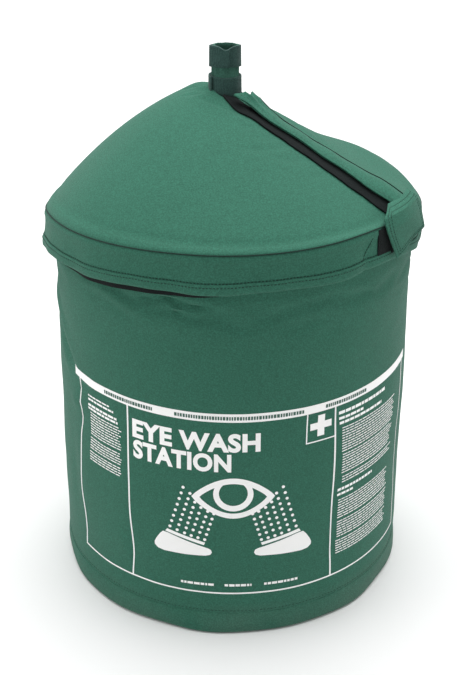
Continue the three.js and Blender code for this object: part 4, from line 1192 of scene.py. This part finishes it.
def makeNeck():
    size = neckShape
    rows = np.linspace(size["foot"], size["top"], 44)
    profile = [(size["outside"], z) for z in rows] + [((size["inside"] + size["outside"]) / 2,
                                                       size["top"] + 0.0006)]
    profile += [(size["inside"], z) for z in rows[::-2]]
    neck = spun("neckSleeve", profile, 96)
    moved(neck, neckFolds)
    outward(neck)
    smoothed(neck, 60)
    ringMap(neck, 0.0163)
    finished(neck, "lid", neckCloth, "green_fabric", "neck_sleeve")

    strapRadius = 0.0196
    straps = {
        "neckStrapLower": {"node": "neck_strap_lower", "foot": 0.6470, "width": 0.0245, "tilt": 0.0012,
                           "start": 2.4, "loose": 0.0010},
        "neckStrapUpper": {"node": "neck_strap_upper", "foot": 0.6825, "width": 0.0258, "tilt": -0.0010,
                           "start": 3.5, "loose": 0.0006},
    }
    for name, strap in straps.items():
        def wrapped(t, v):
            turn = t * math.radians(442)
            angle = strap["start"] + turn
            over = np.clip((turn - 2 * math.pi + 0.5) / 0.5, 0, 1)
            over = over * over * (3 - 2 * over)
            radius = strapRadius + 0.0024 * over + strap["loose"] * np.clip((t - 0.93) / 0.07, 0, 1) ** 2 * 2
            z = strap["foot"] + strap["width"] * v + strap["tilt"] * np.sin(angle)
            radius = radius + 0.0002 * np.cos(7 * angle)
            return neckPlaced(radius, angle, z)

        band = clothStrip(name, 130, 9, wrapped, 0.0021, 0.0005)
        outward(band)
        ringMap(band, strapRadius)
        finished(band, "lid", strapWebbing, "dark_webbing", strap["node"])
        for row, share in (("A", 0.1), ("B", 0.9)):
            t = np.linspace(0.0, 0.97, 90)
            route = wrapped(t, np.full_like(t, share))
            outs = np.stack([route[:, 0] - neckShape["shift"], route[:, 1] * 2, 0 * t], 1)
            outs /= np.linalg.norm(outs, axis=1)[:, None]
            sewnRow(name + "Stitch" + row, route + outs * 0.0001, outs, 0.0042, "lid", darkThread,
                    "dark_webbing",
                    strapRadius, length=0.0024, thick=0.0005)


# Printed panel, laid on the wall as thin ink
panelShape = {"lift": 0.00012, "ink": 0.00022, "cell": 0.0065}


def wallTree(wall):
    return BVHTree.FromObject(wall, bpy.context.evaluated_depsgraph_get())


# How far out the wall's surface lies, in the direction out and at height z
def wallRadius(tree, out, z):
    hit = tree.ray_cast(out * 0.3 + Vector((0, 0, z)), -out, 0.2)[0]
    return math.hypot(hit.x, hit.y) if hit else jacketRadius


def cutIntoCells(piece, cell):
    low, high = pointsOf(piece).min(0), pointsOf(piece).max(0)
    for axis in (0, 1):
        direction = [0, 0, 0]
        direction[axis] = 1
        step = cell if axis == 0 else cell * 1.6
        for at in np.arange(low[axis] + step, high[axis] - 1e-4, step):
            co = [0, 0, 0]
            co[axis] = float(at)
            editAll(piece)
            bpy.ops.mesh.bisect(plane_co=co, plane_no=direction, threshold=1e-6)
    leaveEdit()
    return piece


def panelWarp(u, v):
    # print drifts with the cloth at its left side
    side = np.clip((-0.105 - u) / 0.06, 0, 1)
    u = u + 0.0075 * side * np.exp(-((v - 0.105) / 0.035) ** 2)
    far = np.clip((-0.195 - u) / 0.05, 0, 1)
    u = u + far * (0.010 * np.exp(-((v - 0.300) / 0.014) ** 2) + 0.010 * np.exp(-((v - 0.262) / 0.02) ** 2)
                   - 0.008 * np.exp(-((v - 0.120) / 0.05) ** 2))
    right = np.clip((u - 0.12) / 0.02, 0, 1) * np.clip((0.16 - u) / 0.02, 0, 1)
    return u + 0.002 * right * np.sin(v * 32), v


def printed(piece, tree, material, thickness=None, lift=None):
    lift = panelShape["lift"] if lift is None else lift
    flat = pointsOf(piece)
    u, v = panelWarp(flat[:, 0], flat[:, 1])
    places = []
    for a, z in zip(u / jacketRadius, v):
        out = Vector((math.sin(a), -math.cos(a), 0))
        radius = wallRadius(tree, out, z) + lift
        places.append((out.x * radius, out.y * radius, z))
    setPoints(piece, np.array(places))
    addModifier(piece, "SOLIDIFY", thickness=thickness or panelShape["ink"], offset=1)
    smoothed(piece, 40)
    finished(piece, "station", material, "white_enamel")
    return piece


def flatShape(name, outlines):
    curve = bpy.data.curves.new(name, "CURVE")
    curve.dimensions, curve.fill_mode = "2D", "FRONT"
    for outline in outlines:
        spline = curve.splines.new("POLY")
        spline.points.add(len(outline) - 1)
        for point, (u, v) in zip(spline.points, outline):
            point.co = (u, v, 0, 1)
        spline.use_cyclic_u = True
    piece = bpy.data.objects.new(name, curve)
    bpy.context.scene.collection.objects.link(piece)
    activate(piece)
    bpy.ops.object.convert(target="MESH")
    piece = bpy.context.object
    piece.name = piece.data.name = name
    return piece


def bar(u0, v0, u1, v1):
    return [(u0, v0), (u1, v0), (u1, v1), (u0, v1)]


def joinedMesh(name, pieces):
    activate(pieces[0])
    for piece in pieces:
        piece.select_set(True)
    bpy.ops.object.join()
    pieces[0].name = pieces[0].data.name = name
    return pieces[0]


# Short bars that stand for lines of small type
def greekBars(name, lines, rng, word=(0.004, 0.011), space=0.0013):
    points, faces = [], []
    for u0, u1, v, height in lines:
        at = u0
        while at < u1 - 0.0008:
            length = min(rng.uniform(*word), u1 - at)
            count = max(1, int(math.ceil(length / 0.006)))
            start = len(points)
            for k in range(count + 1):
                u = at + length * k / count
                points += [(u, v, 0), (u, v + height, 0)]
            faces += [(start + 2 * k, start + 2 * k + 2, start + 2 * k + 3, start + 2 * k + 1)
                      for k in range(count)]
            at += length + space
    return meshPiece(name, points, faces)


def headline(name, words, u0, u1, v0, v1):
    deselectAll()
    bpy.ops.object.text_add(location=(0, 0, 0))
    text = bpy.context.object
    text.data.body = words
    text.data.size = 0.03
    text.data.offset = 0.0013
    text.data.space_character = 1.06
    text.data.resolution_u = 5
    bpy.ops.object.convert(target="MESH")
    text = bpy.context.object
    text.name = text.data.name = name
    p = pointsOf(text)
    low, high = p.min(0), p.max(0)
    p[:, 0] = u0 + (p[:, 0] - low[0]) / (high[0] - low[0]) * (u1 - u0)
    p[:, 1] = v0 + (p[:, 1] - low[1]) / (high[1] - low[1]) * (v1 - v0)
    p[:, 2] = 0
    setPoints(text, p)
    return text


def ringOutline(cu, cv, ru, rv, count=40):
    return [(cu + ru * math.cos(t), cv + rv * math.sin(t))
            for t in np.linspace(0, 2 * math.pi, count + 1)[:-1]]


def almond(cu, cv, half, rise, fall, count=26):
    arch = [max(0.0, math.sin(math.pi * k / count)) ** 0.82 for k in range(count + 1)]
    upper = [(cu - half + 2 * half * k / count, cv + rise * arch[k]) for k in range(count + 1)]
    lower = [(cu + half - 2 * half * k / count, cv - fall * arch[k]) for k in range(1, count)]
    return upper + lower


def makePanel(wall):
    tree = wallTree(wall)
    cell = panelShape["cell"]
    rng = random.Random(7)
    stripe = {"left": -0.2420, "right": 0.2930, "foot": 0.3168, "top": 0.3282}
    left, right = -0.2300, 0.2860
    foot = 0.0625
    line = 0.0021
    dividers = (-0.1345, 0.1335)

    band = flatShape("fillStripe", [bar(stripe["left"], stripe["foot"], stripe["right"], stripe["top"])])
    printed(cutIntoCells(band, cell), tree, whiteInk)

    strokes = [bar(left, foot, right, foot + line)]
    strokes += [bar(u - line / 2, foot + line + 0.0001, u + line / 2, stripe["foot"] - 0.0002)
                for u in (left + line / 2, *dividers, right - line / 2)]
    strokes += [bar(0.0925, 0.2742, dividers[1] - line / 2 - 0.0001, 0.2758),
                bar(0.0925, 0.2759, 0.0941, stripe["foot"] - 0.0002)]
    rules = joinedMesh("panelRules", [cutIntoCells(flatShape("rule" + str(i), [stroke]), cell) for i,
                                      stroke in enumerate(strokes)])
    printed(rules, tree, whiteInk)

    cu, cv, arm, half = 0.1128, 0.2968, 0.0048, 0.0150
    cross = flatShape("firstAidCross", [[(cu - arm, cv - half), (cu + arm, cv - half), (cu + arm, cv - arm),
                                         (cu + half, cv - arm), (cu + half, cv + arm),
                                         (cu + arm, cv + arm), (cu + arm, cv + half), (cu - arm, cv + half),
                                         (cu - arm, cv + arm), (cu - half, cv + arm),
                                         (cu - half, cv - arm), (cu - arm, cv - arm)]])
    printed(cutIntoCells(cross, cell), tree, whiteInk)

    words = [headline("headlineUpper", "EYE WASH", -0.1275, 0.0345, 0.2748, 0.3012),
             headline("headlineLower", "STATION", -0.1265, -0.0005, 0.2460, 0.2722)]
    printed(cutIntoCells(joinedMesh("headline", words), cell), tree, whiteInk)

    # eye over two spray heads
    eu, ev = 0.0022, 0.2085
    lids = flatShape("eyeOutline", [almond(eu, ev, 0.0515, 0.0288, 0.0298),
                                    almond(eu, ev, 0.0415, 0.0208, 0.0225)])

    def under(outline, rise):
        half = 0.0465
        return [(u, min(v, ev + rise * max(0.0, math.sin(math.pi * (u - eu + half) / (2 * half))) ** 0.82))
                for u, v in outline]

    iris = flatShape("eyeIris", [under(ringOutline(eu, ev + 0.0055, 0.0246, 0.0246), 0.0245),
                                 under(ringOutline(eu, ev + 0.0065, 0.0176, 0.0176), 0.0212)])
    printed(joinedMesh("eyePictogram", [cutIntoCells(lids, cell), cutIntoCells(iris, cell)]), tree, whiteInk)

    def sprayer(sign, shift):
        body = [(-0.0870, 0.1485), (-0.0800, 0.1475), (-0.0560, 0.1400), (-0.0290, 0.1322),
                (-0.0252, 0.1300), (-0.0240, 0.1262), (-0.0262, 0.1226),
                (-0.0320, 0.1208), (-0.0580, 0.1196), (-0.0860, 0.1192), (-0.0940, 0.1208),
                (-0.0985, 0.1250), (-0.0988, 0.1295), (-0.0960, 0.1360), (-0.0910, 0.1440)]
        rail = [(-0.0838, 0.1498), (-0.0812, 0.1538), (-0.0325, 0.1405), (-0.0340, 0.1366)]
        return [[(sign * u + shift, v) for u, v in shape] for shape in (body, rail)]

    shapes = [flatShape("sprayer" + str(i), [outline]) for i,
              outline in enumerate(sprayer(1, 0) + sprayer(-1, 0.0045))]
    printed(joinedMesh("sprayHeads", [cutIntoCells(s, cell) for s in shapes]), tree, whiteInk)

    # spray drawn as dots: rows from (u, v) of its upper end to its lower end
    fans = (((-0.0596, 0.2196), (-0.0774, 0.1582), 8), ((-0.0510, 0.2120), (-0.0680, 0.1545), 8),
            ((-0.0450, 0.2000), (-0.0585, 0.1515), 7),
            ((-0.0375, 0.1930), (-0.0500, 0.1490), 6), ((-0.0290, 0.1880), (-0.0415, 0.1470), 6),
            ((-0.0215, 0.1850), (-0.0330, 0.1450), 6))
    deselectAll()
    bpy.ops.mesh.primitive_circle_add(vertices=10, radius=0.0021, fill_type="NGON", location=(0, 0, 0))
    dot = bpy.context.object
    spots = []
    for sign, shift in ((1, 0), (-1, 0.0045)):
        for (u0, v0), (u1, v1), count in fans:
            for k in range(count):
                t = k / (count - 1)
                u, v = u0 + (u1 - u0) * t, v0 + (v1 - v0) * t
                spots.append(Matrix.Translation((sign * u + shift, v, 0)))
    printed(copiesAt("sprayDots", dot, spots), tree, whiteInk)

    # small type drawn as plain bars, with ragged right ends; a row is its pitch and its height
    textShape = {"row": (0.0038, 0.0013), "word": (0.0035, 0.010), "space": 0.0012}

    def paragraph(u0, u1, top, count, pitch, height, ragged):
        return [(u0, u1 - rng.uniform(0, ragged) * (u1 - u0), top - k * pitch, height) for k in range(count)]

    def heading(u0, u1, v, height):
        return paragraph(u0, u1, v, 1, 0.01, height, 0)

    def blocks(u1, ragged, *columns):
        return [row for u0, top, count in columns for row in paragraph(u0, u1, top, count, *textShape["row"],
                ragged)]

    rightText = heading(0.1390, 0.2260, 0.3035, 0.0042) + heading(0.1395, 0.1800, 0.2955, 0.0036)
    rightText += heading(0.1400, 0.2180, 0.2885, 0.0036)
    rightText += blocks(0.2560, 0.10, (0.1445, 0.2815, 10), (0.1462, 0.2420, 8), (0.1478, 0.2090, 3))
    rightText += heading(0.1415, 0.2060, 0.1905, 0.0036) + heading(0.1415, 0.1690, 0.1835, 0.0032)
    rightText += blocks(0.2500, 0.10, (0.1440, 0.1760, 8), (0.1440, 0.1430, 7), (0.1420, 0.1140, 6))
    printed(greekBars("smallTypeRight", rightText, rng, textShape["word"], textShape["space"]), tree,
            whiteInk)

    leftText = heading(-0.2080, -0.1650, 0.3020, 0.0020) + heading(-0.2080, -0.1580, 0.2962, 0.0028)
    leftText += paragraph(-0.2075, -0.1480, 0.2880, 2, 0.0050, 0.0030, 0.1)
    leftText += blocks(-0.1450, 0.08, (-0.2040, 0.2780, 9), (-0.2050, 0.2410, 5), (-0.2060, 0.2200, 4))
    printed(greekBars("smallTypeLeft", leftText, rng, textShape["word"], textShape["space"]), tree, whiteInk)

    stripeText = [(-0.1720, -0.0990, 0.3200, 0.0046), (-0.0700, 0.0890, 0.3200, 0.0046),
                  (0.1180, 0.1850, 0.3200, 0.0046)]
    printed(greekBars("stripeType", stripeText, rng, (0.0016, 0.0032), 0.0011), tree, greenInk,
            lift=panelShape["lift"] + panelShape["ink"] + 0.00004)
    footText = [(-0.0640, -0.0200, 0.0745, 0.0034), (-0.0080, 0.0260, 0.0745, 0.0034),
                (0.0420, 0.0860, 0.0745, 0.0034)]
    printed(greekBars("footType", footText, rng, (0.0022, 0.0075), 0.0012), tree, whiteInk)


def makeWallStitches(wall):
    tree = wallTree(wall)

    def radiusAt(z):
        def at(angles):
            found = []
            for a in angles:
                found.append(wallRadius(tree, Vector((math.cos(a), math.sin(a), 0)), z))
            return np.array(found) + 0.0001
        return at

    z = 0.0350
    route, outs = ringRoute(radiusAt(z), lambda t: np.full_like(t, z), steps=541)
    sewnRow("bootStitchUpper", route, outs, 0.0048, "station", darkThread)

    # the wall's own seam at the back
    z = np.linspace(0.034, 0.49, 120)
    for name, angle in (("backSeamLeft", math.radians(101.2)), ("backSeamRight", math.radians(98.8))):
        out = Vector((math.cos(angle), math.sin(angle), 0))
        radius = np.array([wallRadius(tree, out, height) + 0.0001 for height in z])
        route = np.stack([radius * out.x, radius * out.y, z], 1)
        outs = np.tile([out.x, out.y, 0], (len(z), 1))
        sewnRow(name, route, outs, 0.0046, "station", darkThread)


# Tank and its fittings
def turnedTo(piece, direction, at=(0, 0, 0)):
    turn = Vector((0, 0, 1)).rotation_difference(Vector(direction).normalized()).to_matrix().to_4x4()
    piece.data.transform(Matrix.Translation(at) @ turn)
    return piece


def turnedPart(name, profile, steps=48, direction=(0, 0, 1), at=(0, 0, 0), bevel=0.0005, close=True):
    piece = spun(name, profile, steps, close=close)
    if direction != (0, 0, 1) or at != (0, 0, 0):
        turnedTo(piece, direction, at)
    outward(piece)
    return bevelled(piece, bevel, 2, 35) if bevel else smoothed(piece)


def copyOf(node, name, width=0.0006, segments=2):
    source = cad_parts[node]
    piece = bpy.data.objects.new(name, source.data.copy())
    bpy.context.scene.collection.objects.link(piece)
    piece.data.name = name
    editAll(piece)
    bpy.ops.mesh.remove_doubles(threshold=0.00002)
    bpy.ops.mesh.dissolve_limited(angle_limit=math.radians(1.0))
    leaveEdit()
    return bevelled(piece, width, segments, 34)


def combined(first, second, operation):
    addModifier(first, "BOOLEAN", object=second, operation=operation, solver="EXACT")
    bpy.data.objects.remove(second)
    return first


def headArc(radius, threadGapShade, end, steps=14):
    last = math.acos(end / radius)
    return [(radius * math.cos(last * i / steps), threadGapShade * math.sin(last * i / steps))
            for i in range(steps + 1)]


tankShape = {"radius": 0.192, "headDepth": 0.096, "wall": 0.0025, "low": 0.1258, "high": 0.384,
             "hole": 0.0243}
footRing = {"inside": 0.147, "outside": 0.150, "foot": 0.0141, "top": 0.0626}
bossShape = {"bore": 0.0205, "neck": 0.024, "flange": 0.033, "top": 0.48713, "neckDepth": 0.0165,
             "flangeDepth": 0.0075}


def makeTank():
    radius, threadGapShade, wall, low, high, hole = tankShape.values()
    outer = [(0.0, low - threadGapShade)] + [(r, low - z) for r, z in headArc(radius, threadGapShade, 0.004)[::-1]]
    outer += [(r, high + z) for r, z in headArc(radius, threadGapShade, hole)]
    inner = [(r, high + z) for r, z in headArc(radius - wall, threadGapShade - wall, hole)[::-1]]
    inner += [(r, low - z) for r, z in headArc(radius - wall, threadGapShade - wall, 0.004)] + [(0.0,
            low - threadGapShade + wall)]
    tank = spun("steelTank", outer + inner, 96, close=False)
    outward(tank)
    smoothed(tank, 40)
    finished(tank, "station", brushedSteel, "stainless", "tank_shell")
    for name, z in (("weldUpper", high), ("weldLower", low)):
        bead = [(radius + 0.0008 * math.cos(t) - 0.0002, z + 0.0020 * math.sin(t))
                for t in np.linspace(0, 2 * math.pi, 11)[:-1]]
        ring = spun(name, bead, 240)
        moved(ring, lambda p: widened(p, 1 + 0.0012 * np.sin(np.arctan2(p[:, 1], p[:, 0]) * 120)))
        smoothed(ring, 60)
        finished(ring, "station", plainSteel, "stainless")
    inside, outside, foot, top = footRing.values()
    ring = turnedPart("tankFootRing", [(inside, foot), (outside, foot), (outside, top), (inside, top)], 96)
    finished(ring, "station", plainSteel, "stainless", "tank_foot_ring")
    bore, neck, flange, top, neckDepth, flangeDepth = bossShape.values()
    bossProfile = [(bore, top - neckDepth), (neck, top - neckDepth), (neck, top - flangeDepth),
                   (flange, top - flangeDepth), (flange, top), (bore, top)]
    boss = turnedPart("tankBoss", bossProfile, 64, bevel=0.0007)
    finished(boss, "station", plainSteel, "stainless", "tank_boss")


def makeFillPort():
    low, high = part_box("fill_cap")
    gasketLow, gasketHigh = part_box("fill_gasket")
    at = (0, 0.100, 0)
    boss = copyOf("fill_boss", "fillBoss", 0.0008)
    finished(boss, "station", plainSteel, "stainless", "fill_boss")
    gasketProfile = [(0.020, gasketLow.z), (0.027, gasketLow.z), (0.0274, (gasketLow.z + gasketHigh.z) / 2),
                     (0.027, gasketHigh.z), (0.020, gasketHigh.z)]
    gasket = turnedPart("fillGasket", gasketProfile, 56, at=at, bevel=0)
    finished(gasket, "station", blackRubber, "black_rubber", "fill_gasket")
    flange, top = gasketHigh.z + 0.0003, gasketHigh.z + 0.0078
    capProfile = [(0, low.z), (0.0197, low.z), (0.0197, flange), (0.0290, flange), (0.0290, top),
                  (0.0262, top + 0.0004), (0.012, top), (0, top)]
    cap = spun("fillCap", capProfile, 72, close=False)

    def knurled(p):
        angle, radius = np.arctan2(p[:, 1], p[:, 0]), np.hypot(p[:, 0], p[:, 1])
        return widened(p, np.where(radius > 0.0275, 1 + 0.022 * np.cos(24 * angle) - 0.022, 1))

    moved(cap, knurled)
    outward(cap)
    deselectAll()
    bpy.ops.mesh.primitive_cube_add(size=1, location=(0, 0, (top - 0.001 + high.z) / 2))
    grip = bpy.context.object
    bpy.ops.object.mode_set(mode="EDIT")
    bpy.ops.transform.resize(value=(0.044, 0.010, high.z - top + 0.001))
    bpy.ops.mesh.subdivide(number_cuts=4)
    leaveEdit()
    grip.data.transform(grip.matrix_world)
    grip.matrix_world = Matrix.Identity(4)
    moved(grip, lambda p: p * np.stack([np.ones(len(p)), 0.72 + 0.28 * (np.abs(p[:, 0]) / 0.022) ** 1.5,
                                        np.ones(len(p))], 1))
    combined(cap, grip, "UNION")
    cap.data.transform(Matrix.Translation(at))
    bevelled(cap, 0.0007, 2, 40)
    finished(cap, "fill_cap_body", blackPlastic, "black_plastic", "fill_cap")


bailShape = {"pivotOut": 0.150, "pivotHeight": 0.45442, "wire": 0.004, "reach": 0.045, "half": 0.036}


def makeHandles():
    pivotOut, pivotHeight, wire, reach, half = bailShape.values()
    for side, sign in (("right", 1), ("left", -1)):
        low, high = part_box("handle_" + side)
        pivot = Vector((sign * pivotOut, 0, pivotHeight))
        drop = math.atan2(pivot.z - (low.z + wire), abs((high.x if sign > 0 else low.x)) - wire - pivotOut)
        along = Vector((sign * math.cos(drop), 0, -math.sin(drop)))
        route = [(0, half + 0.011), (0, half + 0.004), (0.002, half + 0.0006), (0.008, half),
                 (reach - 0.010, half), (reach - 0.0029, half - 0.0029),
                 (reach, half - 0.010), (reach, 0)]
        route += [(a, -b) for a, b in route[-2::-1]]
        curve = bpy.data.curves.new("bail_" + side, "CURVE")
        curve.dimensions = "3D"
        curve.bevel_depth, curve.bevel_resolution, curve.use_fill_caps = wire, 5, True
        spline = curve.splines.new("NURBS")
        spline.points.add(len(route) - 1)
        for point, (out, across) in zip(spline.points, route):
            place = pivot + along * out
            point.co = (place.x, across, place.z, 1)
        spline.use_endpoint_u, spline.order_u, spline.resolution_u = True, 3, 8
        piece = bpy.data.objects.new("bail_" + side, curve)
        bpy.context.scene.collection.objects.link(piece)
        activate(piece)
        bpy.ops.object.convert(target="MESH")
        piece = bpy.context.object
        editAll(piece)
        bpy.ops.mesh.remove_doubles(threshold=0.00001)
        bpy.ops.mesh.normals_make_consistent(inside=False)
        leaveEdit()
        smoothed(piece, 50)
        finished(piece, "bail_" + side, plainSteel, "stainless", "handle_" + side)
        for index in ("1", "2"):
            name = "handle_lug_" + side + "_" + index
            lug = copyOf(name, "bailLug_" + side + "_" + index, 0.0007)
            finished(lug, "station", brushedSteel, "stainless", name)


# the cavity is round the ball
valveShape = {"bore": 0.0065, "spigot": 0.009, "end": 0.015, "shoulder": 0.0158, "waist": 0.018,
              "length": 0.032,
              "cavity": 0.0134}
yokeShape = {"hub": 0.013, "arm": 0.007, "reach": 0.062, "socket": 0.011, "socketFoot": 0.009}


def makeOutlet():
    head = copyOf("outlet_head", "outletHead", 0.0009, 3)
    finished(head, "station", chromePlate, "chrome", "outlet_head")
    tube = turnedPart("dipTube", [(0.0065, 0.0503), (0.008, 0.0503), (0.008, 0.4794), (0.0065, 0.4794)], 32)
    finished(tube, "station", blackPlastic, "black_plastic", "dip_tube")

    low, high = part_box("valve_body")
    bore, spigot, end, shoulder, waist, length, hollow = valveShape.values()
    foot, top = high.z - length, high.z
    centre = (foot + top) / 2
    cavity = [(hollow * math.cos(a), centre + hollow * math.sin(a))
              for a in np.radians(np.linspace(61, -61, 15))]
    half = [(end, 0), (end, 0.004), (shoulder, 0.0056), (waist, 0.0085)]
    outside = [(r, foot + z) for r, z in half] + [(r, top - z) for r, z in half[::-1]]
    body = spun("valveBody", [(bore, low.z), (spigot, low.z), (spigot, foot), *outside, (bore, top),
                              *cavity], 56)
    bonnet = spun("bonnet", [(0.0043, 0.010), (0.008, 0.010), (0.008, 0.023), (0.0043, 0.023)], 40)
    turnedTo(bonnet, (0, -1, 0), (0, 0, centre))
    hole = spun("bonnetHole", [(0, 0.008), (0.0043, 0.008), (0.0043, 0.026), (0, 0.026)], 40, close=False)
    turnedTo(hole, (0, -1, 0), (0, 0, centre))
    outward(bonnet), outward(hole)
    combined(body, bonnet, "UNION")
    combined(body, hole, "DIFFERENCE")
    bevelled(body, 0.0005, 2, 40)
    finished(body, "station", chromePlate, "chrome", "valve_body")
    for node, name, width, material, slot in (
            ("valve_stem", "valveStem", 0.0003, plainSteel, "stainless"),
            ("push_lever", "pushLever", 0.0007, brushedSteel, "stainless"),
            ("lever_nut", "leverNut", 0.0006, plainSteel, "stainless"),
            ("push_pad", "pushPad", 0.0025, greenPlastic, "green_plastic"),
            ("valve_ball", "valveBall", 0.0004, chromePlate, "chrome")):
        finished(copyOf(node, name, width, 3 if node == "push_pad" else 2), "valve_lever", material, slot,
                 node)

    low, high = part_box("spray_yoke")
    hub, arm, reach, socketRadius, socketFoot = yokeShape.values()
    yoke = spun("sprayYoke", [(0, low.z), (hub, low.z), (hub, high.z), (0, high.z)], 48, close=False)
    outward(yoke)
    armBar = spun("arm", [(0, -reach), (arm, -reach), (arm, reach), (0, reach)], 40, close=False)
    turnedTo(armBar, (1, 0, 0), (0, 0, (low.z + high.z) / 2))
    outward(armBar)
    combined(yoke, armBar, "UNION")
    socketProfile = [(0, low.z), (socketFoot, low.z), (socketRadius, low.z + 0.002), (socketRadius, high.z),
                     (0, high.z)]
    for x in (-reach, reach):
        socket = spun("socket", socketProfile, 40, close=False)
        socket.data.transform(Matrix.Translation((x, 0, 0)))
        outward(socket)
        combined(yoke, socket, "UNION")
    bevelled(yoke, 0.0006, 2, 40)
    finished(yoke, "station", chromePlate, "chrome", "spray_yoke")

    for side in ("right", "left"):
        for node, name, width, material, slot, holder in (
                ("spray_head_" + side, "sprayHead_" + side, 0.0006, yellowPlastic, "yellow_plastic",
                 "station"),
                ("dust_cap_" + side, "dustCap_" + side, 0.0007, greenPlastic, "green_plastic", "cap_" + side),
                ("cap_pin_" + side, "capPin_" + side, 0.0002, plainSteel, "stainless", "station")):
            finished(copyOf(node, name, width), holder, material, slot, node)


def makeGauge():
    low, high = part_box("gauge_case")
    height = (low.z + high.z) / 2
    front, back = -low.y, 0.044
    at, toFront = (0, 0, height), (0, -1, 0)
    threadRadius, threadStart, threadEnd = 0.0057, 0.0173, 0.0273
    thread = [(0, threadStart), (threadRadius, threadStart), (threadRadius, threadEnd)]
    caseProfile = [*thread, (0.0075, threadEnd), (0.0075, back - 0.004), (0.009, back), (0.0185, back),
                   (0.020, back + 0.0015), (0.020, front), (0.0185, front), (0.0185, back + 0.0077),
                   (0.0155, back + 0.0077), (0.0155, back + 0.002), (0, back + 0.002)]
    case = turnedPart("gaugeCase", caseProfile, 64, toFront, at, close=False)
    finished(case, "station", plainSteel, "stainless", "gauge_case")
    dialProfile = [(0.0014, back + 0.008), (0.0182, back + 0.008), (0.0182, back + 0.009),
                   (0.0014, back + 0.009)]
    dial = turnedPart("gaugeDial", dialProfile, 64, toFront, at, bevel=0.0001)
    finished(dial, "station", whiteEnamel, "white_enamel", "gauge_dial")
    bezelProfile = [(0.0203, front - 0.004), (0.0218, front - 0.004), (0.0218, front + 0.001),
                    (0.0208, front + 0.002), (0.0175, front + 0.002), (0.0178, front + 0.0003),
                    (0.0203, front + 0.0003)]
    bezel = turnedPart("gaugeBezel", bezelProfile, 64, toFront, at, bevel=0.0003)
    finished(bezel, "station", chromePlate, "chrome", "gauge_bezel")
    lensProfile = [(0, front - 0.0025), (0.0182, front - 0.0025), (0.0182, front), (0, front + 0.0001)]
    lens = turnedPart("gaugeLens", lensProfile, 64, toFront, at, bevel=0.0002, close=False)
    finished(lens, "station", lensGlass, "clear_lens", "gauge_lens")
    finished(copyOf("gauge_needle", "gaugeNeedle", 0.0001), "needle", redEnamel, "red_enamel", "gauge_needle")

    # scale marks and numbers on the dial, which faces the front
    dialFace = -(back + 0.009)
    deselectAll()
    bpy.ops.mesh.primitive_cube_add(size=1, location=(0, 0, 0))
    mark = bpy.context.object
    bpy.ops.object.mode_set(mode="EDIT")
    bpy.ops.transform.resize(value=(0.0005, 0.0002, 0.0022))
    bpy.ops.mesh.bevel(offset=0.00005, segments=1)
    leaveEdit()
    spots = []
    for k in range(25):
        turn = math.radians(-135 + 270 * k / 24)
        out = Vector((math.sin(turn), 0, math.cos(turn)))
        stretch = 1.0 if k % 6 == 0 else 0.6  # every sixth mark is long
        place = Matrix.Translation(Vector((0, dialFace - 0.0002, height)) + out * 0.0160)
        spots.append(place @ Matrix.Rotation(turn, 4, "Y") @ Matrix.Diagonal((1, 1, stretch, 1)))
    base = copiesAt("dialMarks", mark, spots)
    finished(base, "station", dialInk, "black_plastic")
    numbers = []
    for k, value in enumerate(("0", "40", "80", "120", "160")):
        turn = math.radians(-135 + 270 * k / 4)
        deselectAll()
        bpy.ops.object.text_add(location=(0, 0, 0))
        text = bpy.context.object
        text.data.body, text.data.size, text.data.extrude = value, 0.0042, 0.0001
        text.data.align_x, text.data.align_y = "CENTER", "CENTER"
        text.data.resolution_u = 3
        bpy.ops.object.convert(target="MESH")
        text = bpy.context.object
        place = Vector((math.sin(turn) * 0.0118, dialFace - 0.0003, height + math.cos(turn) * 0.0118))
        text.data.transform(Matrix.Translation(place) @ Matrix.Rotation(math.pi / 2, 4, "X"))
        numbers.append(text)
    figures = joinedMesh("dialNumbers", numbers)
    finished(figures, "station", dialInk, "black_plastic")

    # relief valve and air valve screwed into the outlet head
    rightBack, leftBack = ((math.cos(turn), math.sin(turn), 0) for turn in map(math.radians, (30, 150)))
    reliefProfile = [*thread, (0.0085, threadEnd), (0.0085, 0.035), (0.007, 0.036), (0.007, 0.051),
                     (0.005, 0.054),
                     (0.0023, 0.054), (0.0023, 0.038), (0, 0.038)]
    relief = turnedPart("reliefValve", reliefProfile, 40, rightBack, at, close=False)
    finished(relief, "station", castBrass, "brass", "relief_valve")
    finished(smoothed(copyOf("relief_pull_ring", "reliefRing", 0.0002), 80), "relief_ring", plainSteel,
             "stainless", "relief_pull_ring")
    airProfile = [*thread, (0.008, threadEnd), (0.008, 0.033), (0.005, 0.034), (0.005, 0.038),
                  (0.0038, 0.039),
                  (0.0038, 0.048), (0, 0.048)]
    stem = turnedPart("airValve", airProfile, 40, leftBack, at, close=False)
    finished(stem, "station", castBrass, "brass", "air_valve")
    capProfile = [(0.0042, 0.040), (0.006, 0.040), (0.006, 0.050), (0.005, 0.051), (0, 0.051), (0, 0.0483),
                  (0.0042, 0.0483)]
    cap = spun("airValveCap", capProfile, 48, close=True)
    moved(cap, lambda p: widened(
        p, 1 + 0.03 * (np.hypot(p[:, 0], p[:, 1]) > 0.0055) * np.cos(16 * np.arctan2(p[:, 1], p[:, 0]))))
    turnedTo(cap, leftBack, at)
    outward(cap)
    finished(bevelled(cap, 0.0003, 1, 40), "air_cap_body", blackPlastic, "black_plastic", "air_valve_cap")


setStage()
print("stage: camera, floor and lights set")
wall = makeWall()
print("stage: jacket wall")
makeBoot()
makeJacketInside()
print("stage: boot, foam, liner, base cushion and binding")
makeLid()
print("stage: lid, skirt, hem and stitches")
makeClosure()
makeNeck()
print("stage: closure and neck")
makePanel(wall)
makeWallStitches(wall)
print("stage: printed panel and seams")
makeTank()
makeFillPort()
makeHandles()
makeOutlet()
makeGauge()
print("stage: tank and fittings")

deselectAll()
